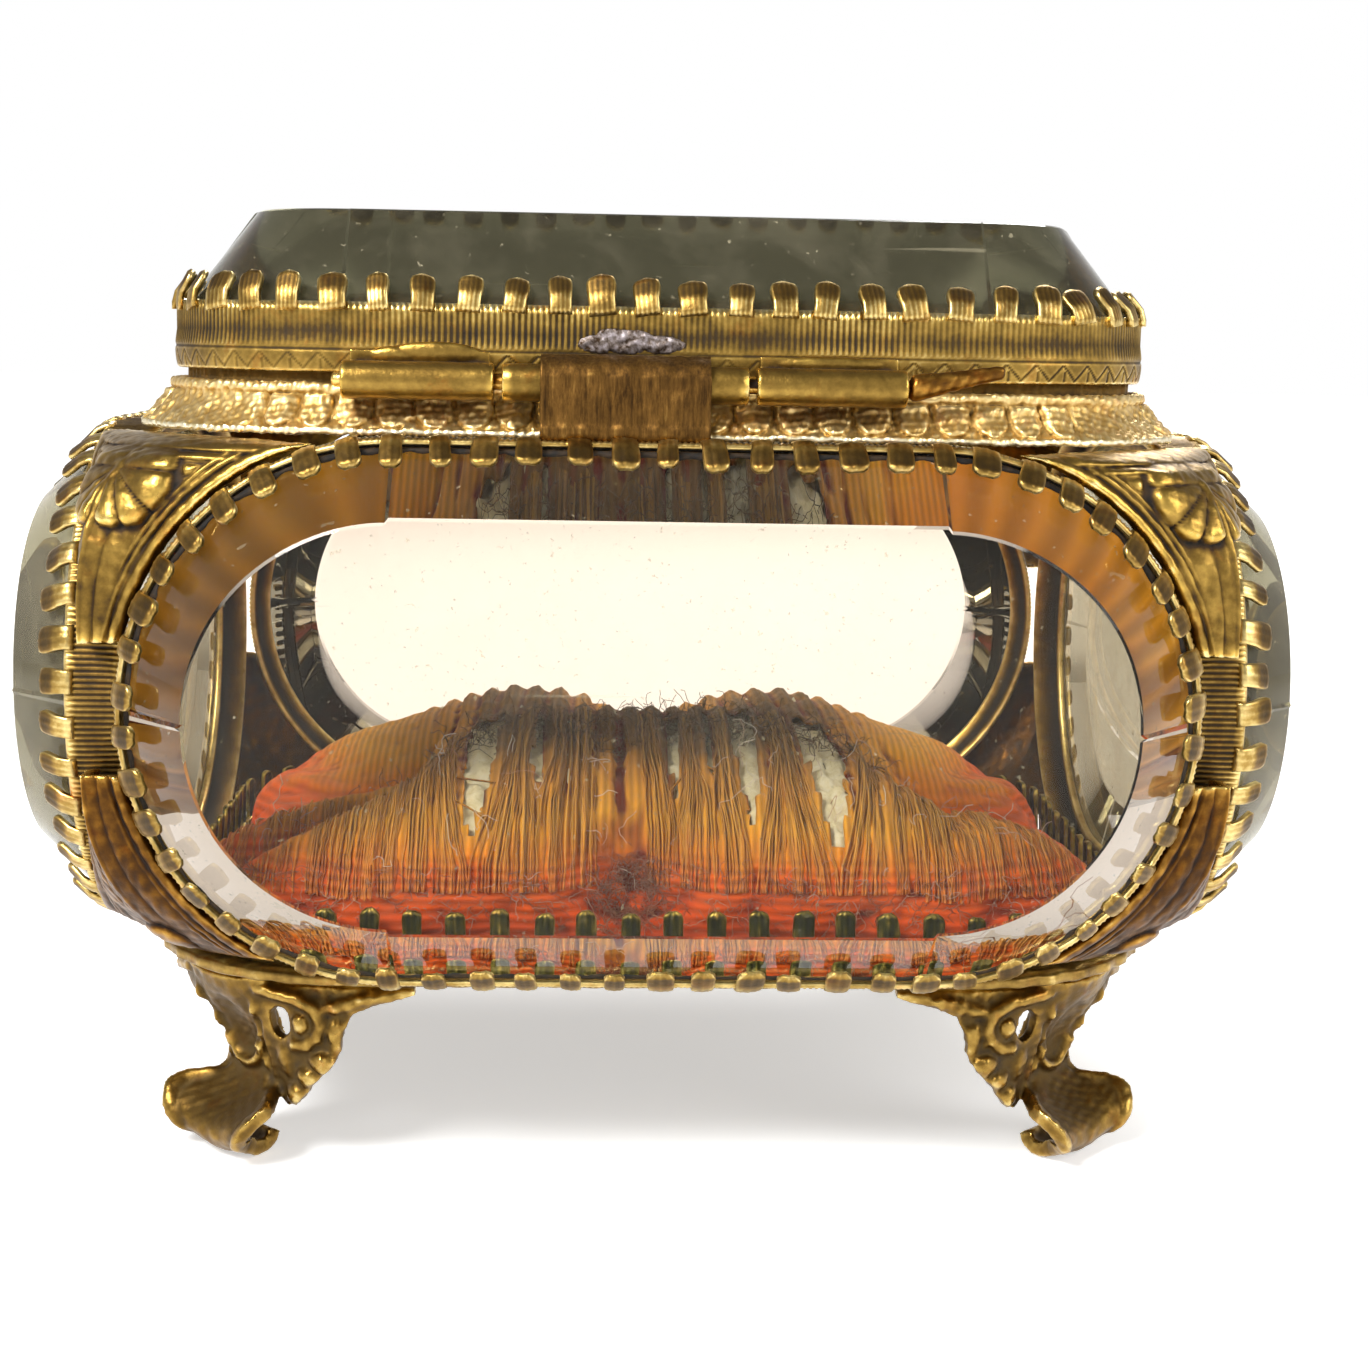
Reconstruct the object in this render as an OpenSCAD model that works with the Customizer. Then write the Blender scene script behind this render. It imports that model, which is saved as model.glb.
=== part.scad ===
// Glass casket: bevelled panes crimped in toothed gallery strips, gilt-brass
// collar, corner spandrels and scroll feet, a hinged glazed lid and a silk cushion.
// Millimetres, +Z up, origin on the floor under the middle of the box.
// The hinge is on the +Y side and the thumb lift on the -Y side.

/* [Wall panes] */
// Width of the front and back panes
long_pane_w = 80; // [72:1:90]
// Width of the two end panes
short_pane_w = 61; // [54:1:70]
// Height of the four wall panes; their ends are half rounds of this height
pane_h = 40; // [34:1:46]
// Thickness left at the rim of a wall pane
pane_rim_t = 1.4; // [1:0.1:2]
// Width of the ground bevel on a wall pane
pane_bevel_w = 5.2; // [3:0.1:7]
// Height of the ground bevel on a wall pane
pane_bevel_rise = 5.6; // [3:0.1:6.5]

/* [Lid] */
// Height of the lid's gallery strip
lid_band_h = 5.3; // [4.4:0.1:7]
// Corner radius of the lid, outside its strip
lid_corner_r = 14.6; // [11:0.1:17]
// How far the lid's ends stand in from the end walls
lid_inset_ends = 2; // [1.5:0.1:4]
// How far the lid's back and front stand in from the long walls
lid_inset_long = 0.6; // [0.2:0.1:1]
// Shadow gap between the closed lid and the collar
lid_gap = 0.9; // [0.5:0.1:1.2]
// Thickness left at the rim of the lid pane
lid_rim_t = 1.1; // [0.9:0.1:1.6]
// Width of the ground bevel on the lid pane
lid_bevel_w = 5.8; // [4:0.1:7]
// Height of the ground bevel on the lid pane
lid_bevel_rise = 7.3; // [4:0.1:8]
// Width of the thumb lift
thumb_w = 9; // [6:0.5:14]

/* [Gallery strips] */
// Thickness of the sheet that the strips are cut from
strip_t = 0.5; // [0.4:0.05:0.7]
// Depth of a wall pane's strip
strip_depth = 4.6; // [4:0.1:6]
// Width of the ledge that a pane lies on
ledge_w = 1.3; // [0.8:0.1:1.8]
// Thickness of the ledge
ledge_t = 0.6; // [0.4:0.1:0.8]
// Distance from tooth to tooth
tooth_pitch = 3.36; // [2.8:0.02:4.4]
// Width of a tooth
tooth_w = 1.65; // [1.2:0.05:2]
// Length of a tooth on a wall pane
tooth_len = 2.9; // [2:0.1:3.4]
// Length of a tooth on the lid
lid_tooth_len = 2.6; // [2:0.1:3.2]
// Thickness of a tooth
tooth_t = 0.4; // [0.3:0.05:0.5]

/* [Frame] */
// Height of the feet
foot_h = 15.75; // [12:0.25:20]
// Thickness of the base ring
base_t = 1; // [0.8:0.1:1.5]
// Height of the collar
collar_h = 3.75; // [3.4:0.05:5]
// Wall of the collar
collar_t = 0.8; // [0.6:0.1:1]
// Height of the collar's lip inside the lid
lip_h = 1.8; // [1:0.1:2.2]
// Thickness of the corner spandrels
spandrel_t = 0.8; // [0.6:0.05:1]
// Thickness of the floor plate
floor_t = 0.8; // [0.6:0.1:1.2]
// Height of the teeth that stand round the floor
floor_tooth_h = 4.9; // [1.2:0.1:6]

/* [Feet] */
// Thickness of a foot's wings
foot_t = 1.4; // [1:0.1:1.8]
// Width of the leg where it leaves the base
leg_w = 12.8; // [10:0.2:14]
// Width of the leg at the ankle
ankle_w = 8; // [7:0.2:10]
// Width of a toe scroll
toe_w = 7.4; // [6:0.1:8]
// Outer radius of a toe scroll
toe_r = 3.3; // [2.8:0.1:3.6]
// Thickness of the leg and toe
toe_t = 1.2; // [0.9:0.1:1.4]

/* [Hinge] */
// Outer radius of the hinge barrels
barrel_r = 1.4; // [1.2:0.05:1.5]
// Radius of the hinge pin
pin_r = 0.55; // [0.4:0.05:0.7]
// Length of the middle barrel
mid_barrel_l = 18.2; // [14:0.2:22]
// Length of each lid barrel
lid_barrel_l = 11.2; // [8:0.2:14]
// Width of the folded hinge plate
plate_w = 12.5; // [9:0.5:16]
// How far the hinge was soldered off the middle of the back
hinge_offset = 3.2; // [0:0.1:3.4]
// Length of the pin's bent tail
tail_l = 7.4; // [4:0.1:9]

/* [Cushion] */
// Height of the cushion's crown above its board
crown_h = 14.5; // [10:0.5:18]
// Thickness of the silk cover
silk_t = 0.5; // [0.4:0.05:0.8]
// Thickness of the card that the cushion is sewn to
board_t = 0.6; // [0.5:0.1:1]
// Gap between the cushion and the strip round the floor
cushion_gap = 0.9; // [0.6:0.1:3]
// How far the cushion's sides draw in between its corners
side_draw = 1.2; // [0.5:0.1:2]

/* [Hidden] */
$fn = 96;
TOP_CORNERS = ["top_spandrel_front_left", "top_spandrel_front_right",
               "top_spandrel_back_left", "top_spandrel_back_right"];
LOW_CORNERS = ["low_spandrel_front_left", "low_spandrel_front_right",
               "low_spandrel_back_left", "low_spandrel_back_right"];
FEET = ["foot_front_left", "foot_front_right", "foot_back_left", "foot_back_right"];
// -X is left and -Y is front
CORNER_SIGNS = [[-1, -1], [1, -1], [-1, 1], [1, 1]];

brass = "goldenrod";
old_brass = "darkgoldenrod";
glass_tint = [0.80, 0.88, 0.84, 0.45];

// Running and seating gaps
glass_gap = 0.15;
corner_gap = 0.25;
seat_gap = 0.05;
tooth_gap = 0.06;
pin_fit = 0.03;
lid_pin_fit = 0.07;
strip_out = glass_gap + strip_t;
// The rim of a pane stands this far below the strip's front edge
rim_sink = 0.3;

// The four wall strips stand round this rectangle
end_in = long_pane_w / 2 + strip_out + corner_gap;
end_face = end_in + strip_depth;
long_in = short_pane_w / 2 + strip_out + corner_gap;
long_face = long_in + strip_depth;
pane_r = pane_h / 2;
strip_r = pane_r + strip_out;
window_bottom = foot_h + base_t;
pane_z = window_bottom + strip_r;
window_top = pane_z + strip_r;

// Lid and collar share the corner axes at [corner_x, corner_y]
corner_x = end_in - lid_inset_ends - lid_corner_r;
corner_y = long_in - lid_inset_long - lid_corner_r;
collar_top = window_top + collar_h;
lid_bottom = collar_top + lid_gap;
lid_strip_top = lid_bottom + lid_band_h;
lid_rim_top = lid_strip_top - rim_sink;
lid_seat = lid_rim_top - lid_rim_t;
lid_pane_r = lid_corner_r - strip_out;
band_bulge = 0.3;
collar_top_r = lid_corner_r + 0.6;
// The collar's foot stands on the strips by this much
collar_bite = 0.9;
collar_foot_r = end_in + collar_bite - corner_x;
lip_gap = 0.3;
lip_t = 0.7;
lip_r = lid_corner_r - strip_t - lip_gap;
ring_in_r = lid_corner_r - 1.1;
ring_out_r = collar_foot_r - 0.5;

// Hinge line
hinge_z = lid_bottom - 0.5;
hinge_y = corner_y + lid_corner_r + band_bulge + 2.5;
wrap_t = 0.4;
barrel_gap = 0.6;
leaf_t = 0.4;
leaf_h = 2.1;

// A window's local frame: +Z out of the box, origin at the strip's front edge.
module on_side(name) {
    turn = name == "back" ? 180 : name == "front" ? 0 : name == "right" ? 90 : -90;
    reach = name == "back" || name == "front" ? long_face : end_face;
    translate([0, 0, pane_z])
        rotate([90, 0, turn])
            translate([0, 0, reach])
                children();
}

function side_straight(name) =
    (name == "back" || name == "front" ? long_pane_w : short_pane_w) / 2 - pane_r;

// Sweeps a profile (x outwards from the corner axis, y up) round a rectangle of
// straights a and b, with a quarter turn at each corner. b is 0 for a stadium.
module swept(a, b) {
    for (c = [[a, b, 0], [-a, b, 90], [-a, -b, 180], [a, -b, 270]])
        translate([c[0], c[1], 0])
            rotate([0, 0, c[2]])
                rotate_extrude(angle = 90)
                    children();
    if (b > 0)
        for (turn = [0, 180])
            rotate([0, 0, turn])
                translate([a, b, 0])
                    rotate([90, 0, 0])
                        linear_extrude(2 * b)
                            children();
    if (a > 0)
        for (turn = [90, 270])
            rotate([0, 0, turn])
                translate([b, a, 0])
                    rotate([90, 0, 0])
                        linear_extrude(2 * a)
                            children();
}

// Point and outward angle at arc length s on a rounded rectangle of straights a, b
// and corner radius r, from the middle of the +X side anticlockwise.
function round_at(s, a, b, r) =
    let (q = PI * r / 2)
    s < b ? [a + r, s, 0]
    : s < b + q ? let (t = (s - b) / r * 180 / PI) [a + r * cos(t), b + r * sin(t), t]
    : s < b + q + 2 * a ? [a - (s - b - q), b + r, 90]
    : let (h = 2 * b + 2 * q + 2 * a)
      s < b + 2 * q + 2 * a
        ? let (t = 90 + (s - b - q - 2 * a) / r * 180 / PI)
          [-a + r * cos(t), b + r * sin(t), t]
        : let (m = round_at(s - h, a, b, r)) [-m[0], -m[1], m[2] + 180];

function round_length(a, b, r) = 4 * a + 4 * b + 2 * PI * r;
function tooth_count(length) = round(length / tooth_pitch);

module tooth(length) {
    linear_extrude(tooth_t) {
        translate([-length + tooth_w / 2, -tooth_w / 2])
            square([length - tooth_w / 2, tooth_w]);
        translate([-length + tooth_w / 2, 0])
            circle(d = tooth_w, $fn = 24);
    }
}

// Teeth folded over a bevel of the given slope. r is the glass radius at the rim
// and z the height of the rim.
module teeth(a, b, r, z, slope, length) {
    root = strip_out - strip_t / 2;
    path_r = r + root;
    root_z = z - root * tan(slope) + tooth_gap / cos(slope);
    full = round_length(a, b, path_r);
    count = tooth_count(full);
    for (i = [0:count - 1])
        let (p = round_at((i + 0.5) * full / count, a, b, path_r))
            translate([p[0], p[1], root_z])
                rotate([0, 0, p[2]])
                    rotate([0, slope, 0])
                        tooth(length);
}

// Wall and ledge of a gallery strip in profile; r is its outer radius.
module strip_profile(r, top, bottom, seat) {
    wall = r - strip_t;
    polygon([[r, bottom], [r, top], [wall, top], [wall, seat], [wall - ledge_w, seat],
             [wall - ledge_w, seat - ledge_t], [wall, seat - ledge_t], [wall, bottom]]);
}

// A pane in profile from its corner axis out to its rim.
module pane_profile(r, rim_t, bevel_w, rise) {
    polygon([[0, 0], [r, 0], [r, rim_t], [r - bevel_w, rim_t + rise], [0, rim_t + rise]]);
}

module wall_glass(name) {
    color(glass_tint)
        on_side(name)
            translate([0, 0, -rim_sink - pane_rim_t])
                swept(side_straight(name), 0)
                    pane_profile(pane_r, pane_rim_t, pane_bevel_w, pane_bevel_rise);
}

module wall_gallery(name) {
    a = side_straight(name);
    slope = atan2(pane_bevel_rise, pane_bevel_w);
    color(brass)
        on_side(name) {
            swept(a, 0)
                strip_profile(strip_r, 0, -strip_depth, -rim_sink - pane_rim_t - seat_gap);
            teeth(a, 0, pane_r, -rim_sink, slope, tooth_len);
        }
}

module collar() {
    top = collar_top;
    low = window_top;
    flare = collar_foot_r - collar_top_r;
    color(brass)
        swept(corner_x, corner_y)
            polygon([
                [collar_top_r, top],
                [collar_top_r + 0.1 * flare, low + 0.65 * collar_h],
                [collar_top_r + 0.4 * flare, low + 0.3 * collar_h],
                [collar_foot_r, low + 0.35],
                [collar_foot_r, low],
                [collar_foot_r - 1.2 * collar_t, low],
                [collar_top_r + 0.4 * flare - collar_t, low + 0.3 * collar_h],
                [collar_top_r + 0.1 * flare - collar_t, low + 0.65 * collar_h],
                [collar_top_r - collar_t, top - collar_t],
                [lip_r - lip_t, top - collar_t],
                [lip_r - lip_t, top + lip_h],
                [lip_r, top + lip_h],
                [lip_r, top]
            ]);
}

module base_ring() {
    color(old_brass)
        translate([0, 0, foot_h])
            swept(corner_x, corner_y)
                translate([ring_in_r, 0])
                    square([ring_out_r - ring_in_r, base_t]);
}

module round_plate(r, thickness) {
    linear_extrude(thickness) {
        for (x = [-1, 1], y = [-1, 1])
            translate([x * corner_x, y * corner_y])
                circle(r);
        square([2 * (corner_x + r), 2 * corner_y], center = true);
        square([2 * corner_x, 2 * (corner_y + r)], center = true);
    }
}

// The plate lies on the base ring between the long walls' strips.
floor_r = min(long_in - corner_y, end_in - corner_x) - 0.2;
floor_top = window_bottom + floor_t;

module floor_plate() {
    color(old_brass)
        translate([0, 0, window_bottom])
            round_plate(floor_r, floor_t);
}

// Upright toothed strip that stands on the plate's edge round the cushion.
floor_strip_h = 0.7;

module floor_gallery() {
    wall = 0.45;
    mid_r = floor_r - 0.35;
    full = round_length(corner_x, corner_y, mid_r);
    count = tooth_count(full);
    color(brass)
        translate([0, 0, floor_top]) {
            swept(corner_x, corner_y)
                translate([mid_r - wall / 2, 0])
                    square([wall, floor_strip_h]);
            for (i = [0:count - 1])
                let (p = round_at((i + 0.5) * full / count, corner_x, corner_y, mid_r))
                    translate([p[0], p[1], floor_strip_h / 2])
                        rotate([0, 0, p[2]])
                            translate([-wall / 2, -tooth_w / 2, 0])
                                cube([wall, tooth_w, floor_tooth_h]);
        }
}

// A solid between two grids of points, outer and inner, each a list of rows. Seen
// from outside, a row runs from right to left and the next row lies below it.
module sheet_between(outer, inner) {
    rows = len(outer);
    cols = len(outer[0]);
    half = rows * cols;
    points = concat([for (row = outer) each row], [for (row = inner) each row]);
    grid = [for (i = [0:rows - 2], j = [0:cols - 2]) [i * cols + j, i * cols + j + 1,
                                                      (i + 1) * cols + j + 1, (i + 1) * cols + j]];
    skins = [for (q = grid) each [[q[0], q[2], q[1]], [q[0], q[3], q[2]],
                                  [half + q[0], half + q[1], half + q[2]],
                                  [half + q[0], half + q[2], half + q[3]]]];
    rim = concat([for (j = [0:cols - 2]) [j, j + 1]],
                 [for (i = [0:rows - 2]) [i * cols + cols - 1, (i + 1) * cols + cols - 1]],
                 [for (j = [cols - 1:-1:1]) [(rows - 1) * cols + j, (rows - 1) * cols + j - 1]],
                 [for (i = [rows - 1:-1:1]) [i * cols, (i - 1) * cols]]);
    walls = [for (e = rim) each [[e[0], e[1], half + e[0]], [half + e[0], e[1], half + e[1]]]];
    polyhedron(points = points, faces = concat(skins, walls));
}

// Quadratic curve through a, towards b, to c.
function bow(a, b, c, t) = (1 - t) * (1 - t) * a + 2 * t * (1 - t) * b + t * t * c;

// The +X +Y spandrels hang between the arcs of the back and right strips. v runs
// from the collar (0) to the corner's waist (1), u from the back arc to the end arc.
arc_gap = 0.35;
edge_sink = 0.4;
tip_sink = 1.6;
top_from = 73;
top_to = 14;
low_from = -64;
low_to = -14;
ridge_out = 2.7;
// The top ridge runs out over a shoulder before it falls to the waist
shoulder_out = 0.4;
shoulder_up = 0.93;
// The top sheet's inside lies below it on the shoulder, by this share of its wall
shoulder_sink = 0.8;
// The ridge's head stands out past the collar and stays under its foot
head_out = 0.25;
head_drop = 0.35;
// The low ridge's tail stands in from the base ring's edge and over its top
tail_in = 0.3;
tail_up = 0.4;
// How far the sheet swells between an edge and the ridge
top_swell = 1.1;
low_swell = 0.7;

function arc_point(angle, straight) =
    [straight + (strip_r + arc_gap) * cos(angle), pane_z + (strip_r + arc_gap) * sin(angle)];

function back_edge(angle, v) =
    let (p = arc_point(angle, side_straight("back")))
    [p[0], long_face - edge_sink - tip_sink * v, p[1]];

function end_edge(angle, v) =
    let (p = arc_point(angle, side_straight("right")))
    [end_face - edge_sink - tip_sink * v, p[0], p[1]];

function on_diagonal(r, z) = [corner_x + r / sqrt(2), corner_y + r / sqrt(2), z];

waist = [end_in + ridge_out, long_in + ridge_out, 0];
function at_waist(z) = [waist[0], waist[1], z];

function top_ridge(v) =
    let (head = on_diagonal(collar_foot_r + head_out, window_top - head_drop),
         shoulder = at_waist(pane_z + shoulder_up * strip_r)
                    + [shoulder_out, shoulder_out, 0])
    bow(head, shoulder, at_waist(pane_z + strip_r * sin(top_to)), v);

function low_ridge(v) =
    let (tail = on_diagonal(ring_out_r - tail_in, window_bottom + tail_up))
    bow(tail, at_waist(pane_z - 0.72 * strip_r),
        at_waist(pane_z + strip_r * sin(low_to)), v);

// Cross curve of a spandrel from edge to ridge to edge, swelling between them.
function across(p, k, q, u, swell) =
    let (s = u < 0.5 ? 2 * u : 2 - 2 * u,
         from = u < 0.5 ? p : q,
         out = [sin(90 * u), cos(90 * u), 0.25])
    from + (k - from) * s + swell * sin(180 * s) * out;

function spandrel_grid(top, inset, rows, cols) =
    [for (i = [0:rows])
        let (v = i / rows,
             angle = top ? top_from + (top_to - top_from) * v
                         : low_from + (low_to - low_from) * v,
             p = back_edge(angle, v),
             q = end_edge(angle, v),
             k = top ? top_ridge(v) : low_ridge(v),
             swell = (top ? top_swell : low_swell) * (1 - 0.8 * v))
        [for (j = [0:cols])
            let (u = j / cols,
                 sink = top ? shoulder_sink * sin(180 * u) * (1 - v) * (1 - v) : 0)
            across(p, k, q, u, swell) - inset * [sin(90 * u), cos(90 * u), sink]]];

module spandrel(top) {
    rows = 12;
    cols = 14;
    outer = spandrel_grid(top, 0, rows, cols);
    inner = spandrel_grid(top, spandrel_t, rows, cols);
    if (top)
        sheet_between(outer, inner);
    else
        sheet_between(inner, outer);
}

// Moves what is drawn at the +X +Y corner to another corner.
module at_corner(signs) {
    mirror([signs[0] < 0 ? 1 : 0, 0, 0])
        mirror([0, signs[1] < 0 ? 1 : 0, 0])
            children();
}

module top_spandrel(index) {
    color(brass) at_corner(CORNER_SIGNS[index]) spandrel(true);
}

module low_spandrel(index) {
    color(old_brass) at_corner(CORNER_SIGNS[index]) spandrel(false);
}

// Outline of a foot's wing, with x along the wall from the corner axis outwards
// and y up. The wing hangs from the base ring, ends in a volute and joins the leg.
wing_reach = 5;
wing_tip_h = 0.9;
wing_root_h = 2.2;
wing_root_x = -1;
wing_foot = [1.6, 6.4];
wing_heel = [5.4, 6.2];
wing_shoulder = [7.4, 4.4];
wing_out_h = 4;
wing_margin = 2;
volute_at = [0.9, 4.2];
volute_r = 2;
eye_at = [3.9, 3.3];
eye_r = 1.2;
foot_wall_r = ring_in_r + foot_t;

module wing_outline() {
    out = foot_wall_r + wing_margin;
    translate([0, foot_h])
        difference() {
            union() {
                polygon([
                    [-wing_reach, 0],
                    [-wing_reach, -wing_tip_h],
                    [wing_root_x, -wing_root_h],
                    [wing_foot[0], -wing_foot[1]],
                    [wing_heel[0], -wing_heel[1]],
                    [wing_shoulder[0], -wing_shoulder[1]],
                    [out, -wing_out_h],
                    [out, 0]
                ]);
                translate([volute_at[0], -volute_at[1]]) circle(r = volute_r, $fn = 32);
            }
            translate([eye_at[0], -eye_at[1]]) circle(r = eye_r, $fn = 32);
        }
}

module foot_wing() {
    intersection() {
        union() {
            rotate([0, 0, 45])
                rotate_extrude(angle = 45)
                    translate([ring_in_r, 0])
                        square([foot_t, foot_h]);
            translate([-wing_reach, ring_in_r, 0])
                cube([wing_reach, foot_t, foot_h]);
        }
        rotate([90, 0, 0])
            translate([0, 0, -foot_wall_r - 1])
                linear_extrude(foot_wall_r + 1)
                    wing_outline();
    }
}

// The leg is a bowed strip that runs down the corner, kicks out at the ankle and
// rolls under itself into the toe. Its side view has x out along the corner's
// diagonal and y up; the roll has a short flat where the foot stands.
flat_half_angle = 15;
leg_stand = 0.5;
toe_stand = 1.5;
ankle_back = 1.5;
ankle_hollow = 1.6;
leg_top = [foot_wall_r + leg_stand, foot_h];
toe_reach = foot_wall_r + toe_stand;
toe_centre = [toe_reach - toe_r, toe_r * cos(flat_half_angle)];
ankle = [toe_centre[0] - ankle_back, toe_centre[1] + 1.5 * toe_r];
under_ankle = [ankle[0] - ankle_hollow, toe_centre[1] + toe_r];
ROLL = [62, 34, 6, -22, -50, -90 + flat_half_angle, -90 - flat_half_angle,
        -132, -160, -188, -214];
leg_steps = 7;
ankle_steps = 4;

// The strip winds inwards by this much over the last part of the roll
roll_in = 0.8;
function roll_r(turn) = toe_r - roll_in * max(0, -turn - 110) / 100;

function leg_side() =
    let (knee = ankle + 1.6 * (ankle - under_ankle))
    concat(
        [for (i = [0:leg_steps - 1]) bow(leg_top, knee, ankle, i / leg_steps)],
        [for (i = [0:ankle_steps])
            bow(ankle, under_ankle, toe_centre + [0, toe_r], i / ankle_steps)],
        [for (turn = ROLL) toe_centre + roll_r(turn) * [cos(turn), sin(turn)]]);

// Width of the strip at step i: it narrows to the ankle, then keeps the toe's width.
function leg_width(i) =
    i < leg_steps ? ankle_w + (leg_w - ankle_w) * cos(90 * i / leg_steps)
    : toe_w + (ankle_w - toe_w) * max(0, 1 - (i - leg_steps) / ankle_steps);

// How much the strip's edges lie behind its middle.
leg_crown = 1.5;
function leg_bow(i) = leg_crown * max(0, 1 - i / (leg_steps + ankle_steps + 5));

function leg_grid(inset) =
    let (side = leg_side(), n = len(side) - 1, cols = 6)
    [for (i = [0:n])
        let (run = side[min(i + 1, n)] - side[max(i - 1, 0)],
             out = [-run[1], run[0]] / norm(run))
        [for (j = [0:cols])
            let (s = 2 * j / cols - 1,
                 p = side[i] - (leg_bow(i) * s * s + inset) * out,
                 across = s * leg_width(i) / 2)
            [(p[0] + across) / sqrt(2), (p[0] - across) / sqrt(2), min(p[1], foot_h)]]];

module foot(index) {
    color(old_brass)
        at_corner(CORNER_SIGNS[index])
            translate([corner_x, corner_y, 0]) {
                foot_wing();
                mirror([1, -1, 0]) foot_wing();
                sheet_between(leg_grid(0), leg_grid(toe_t));
            }
}

module along_hinge(from, length, r) {
    translate([from, hinge_y, hinge_z])
        rotate([0, 90, 0])
            cylinder(r = r, h = length, $fn = 48);
}

module hinge_plate() {
    from = hinge_offset - mid_barrel_l / 2;
    wrap_r = barrel_r + wrap_t;
    flange_in = corner_y + collar_foot_r + seat_gap;
    flange_t = 0.5;
    color(brass)
        difference() {
            union() {
                along_hinge(from, mid_barrel_l, barrel_r);
                intersection() {
                    along_hinge(hinge_offset - plate_w / 2, plate_w, wrap_r);
                    translate([hinge_offset - plate_w / 2, hinge_y - 0.6, hinge_z])
                        cube([plate_w, wrap_r + 1, wrap_r + 1]);
                }
                translate([hinge_offset - plate_w / 2, hinge_y + barrel_r, window_top])
                    cube([plate_w, wrap_t, hinge_z - window_top]);
                translate([hinge_offset - plate_w / 2, flange_in, window_top])
                    cube([plate_w, hinge_y + wrap_r - flange_in, flange_t]);
            }
            along_hinge(from - 1, mid_barrel_l + 2, pin_r + pin_fit);
        }
}

module hinge_pin() {
    half = mid_barrel_l / 2 + barrel_gap + lid_barrel_l;
    tail_rise = 11;
    stub = 0.7;
    bend = hinge_offset - half - stub;
    overlap = 0.2;
    color("dimgray") {
        along_hinge(bend - overlap, 2 * (half + stub) + overlap, pin_r);
        translate([bend, hinge_y, hinge_z])
            rotate([0, -90 + tail_rise, 0])
                translate([0, 0, -overlap])
                    cylinder(r = pin_r, h = tail_l + overlap, $fn = 48);
    }
}

// A lid barrel with the leaf that is soldered to the lid's strip.
module lid_knuckle(from) {
    face = corner_y + lid_corner_r + band_bulge;
    color(brass)
        difference() {
            union() {
                along_hinge(from, lid_barrel_l, barrel_r);
                translate([from, face, lid_bottom])
                    cube([lid_barrel_l, hinge_y - face - pin_r, 0.8]);
                translate([from + 0.4, face, lid_bottom])
                    cube([lid_barrel_l - 0.8, leaf_t, leaf_h]);
            }
            along_hinge(from - 1, lid_barrel_l + 2, pin_r + lid_pin_fit);
        }
}

module lid_gallery() {
    bulge_low = 0.25;
    bulge_high = 2.3;
    r = lid_corner_r;
    wall = r - strip_t;
    slope = atan2(lid_bevel_rise, lid_bevel_w);
    color(brass) {
        swept(corner_x, corner_y)
            polygon([
                [r, lid_bottom],
                [r + band_bulge, lid_bottom + bulge_low],
                [r + band_bulge, lid_bottom + bulge_high],
                [r, lid_bottom + bulge_high + band_bulge],
                [r, lid_strip_top],
                [wall, lid_strip_top],
                [wall, lid_seat - seat_gap],
                [wall - ledge_w, lid_seat - seat_gap],
                [wall - ledge_w, lid_seat - seat_gap - ledge_t],
                [wall, lid_seat - seat_gap - ledge_t],
                [wall, lid_bottom]
            ]);
        teeth(corner_x, corner_y, lid_pane_r, lid_rim_top, slope, lid_tooth_len);
    }
}

module lid_glass() {
    color(glass_tint)
        translate([0, 0, lid_seat]) {
            swept(corner_x, corner_y)
                pane_profile(lid_pane_r, lid_rim_t, lid_bevel_w, lid_bevel_rise);
            translate([-corner_x, -corner_y, 0])
                cube([2 * corner_x, 2 * corner_y, lid_rim_t + lid_bevel_rise]);
        }
}

// A small tongue on the lid's front, for a finger nail.
module thumb_lift() {
    face = corner_y + lid_corner_r + band_bulge;
    reach = 2.6;
    color(brass)
        translate([0, -face, lid_bottom + 0.5])
            linear_extrude(0.8)
                intersection() {
                    translate([0, thumb_w / 2 - reach]) circle(d = thumb_w);
                    translate([-thumb_w, -reach - 1]) square([2 * thumb_w, reach + 1]);
                }
}

// The cushion stands inside the floor's toothed strip. Its plan is a rounded
// rectangle, ring by ring from the middle (0) to the rim (1).
cushion_r = floor_r - 0.6 - cushion_gap;
board_top = floor_top + seat_gap + board_t;
cushion_foot = board_top + seat_gap;
// Places of the sewn tufts, the depth of each and the radius that it draws in
tufts = [[2, 26, 9, 6], [-24, 6, 4, 7], [24, 4, 4, 7], [0, -10, 4, 8], [0, -25, 8, 6]];

function plan_at(share, turn) =
    let (full = round_length(corner_x, corner_y, cushion_r),
         p = round_at(turn * full, corner_x, corner_y, cushion_r),
         drawn = 1 - side_draw / norm(p) * pow(cos(720 * turn), 2))
    [p[0] * share * drawn, p[1] * share * drawn];

function pull(x, y) =
    max([for (t = tufts)
        let (d = norm([x - t[0], y - t[1]]) / t[3]) t[2] * exp(-d * d)]);

// Height of the silk at the rim, as a share of the crown
rim_share = 0.16;
function crown(share) = rim_share + (1 - rim_share) * pow(max(0, 1 - pow(share, 3.2)), 0.62);

// The silk sags to low shoulders at both ends and rides high in the middle.
shoulder_share = 0.72;
hump_half_w = 19;
function hump(x) = shoulder_share + (1 - shoulder_share) / (1 + pow(x / hump_half_w, 6));

// A tuft pulls the rim itself down less, and the silk never lies lower than this
least_silk = 1.6;
rim_pull = 0.3;
function silk_height(x, y, share) =
    max(least_silk,
        crown_h * crown(share) * hump(x) - pull(x, y) * (share > 0.97 ? rim_pull : 1));

cushion_rings = 10;
cushion_spokes = 44;

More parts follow.
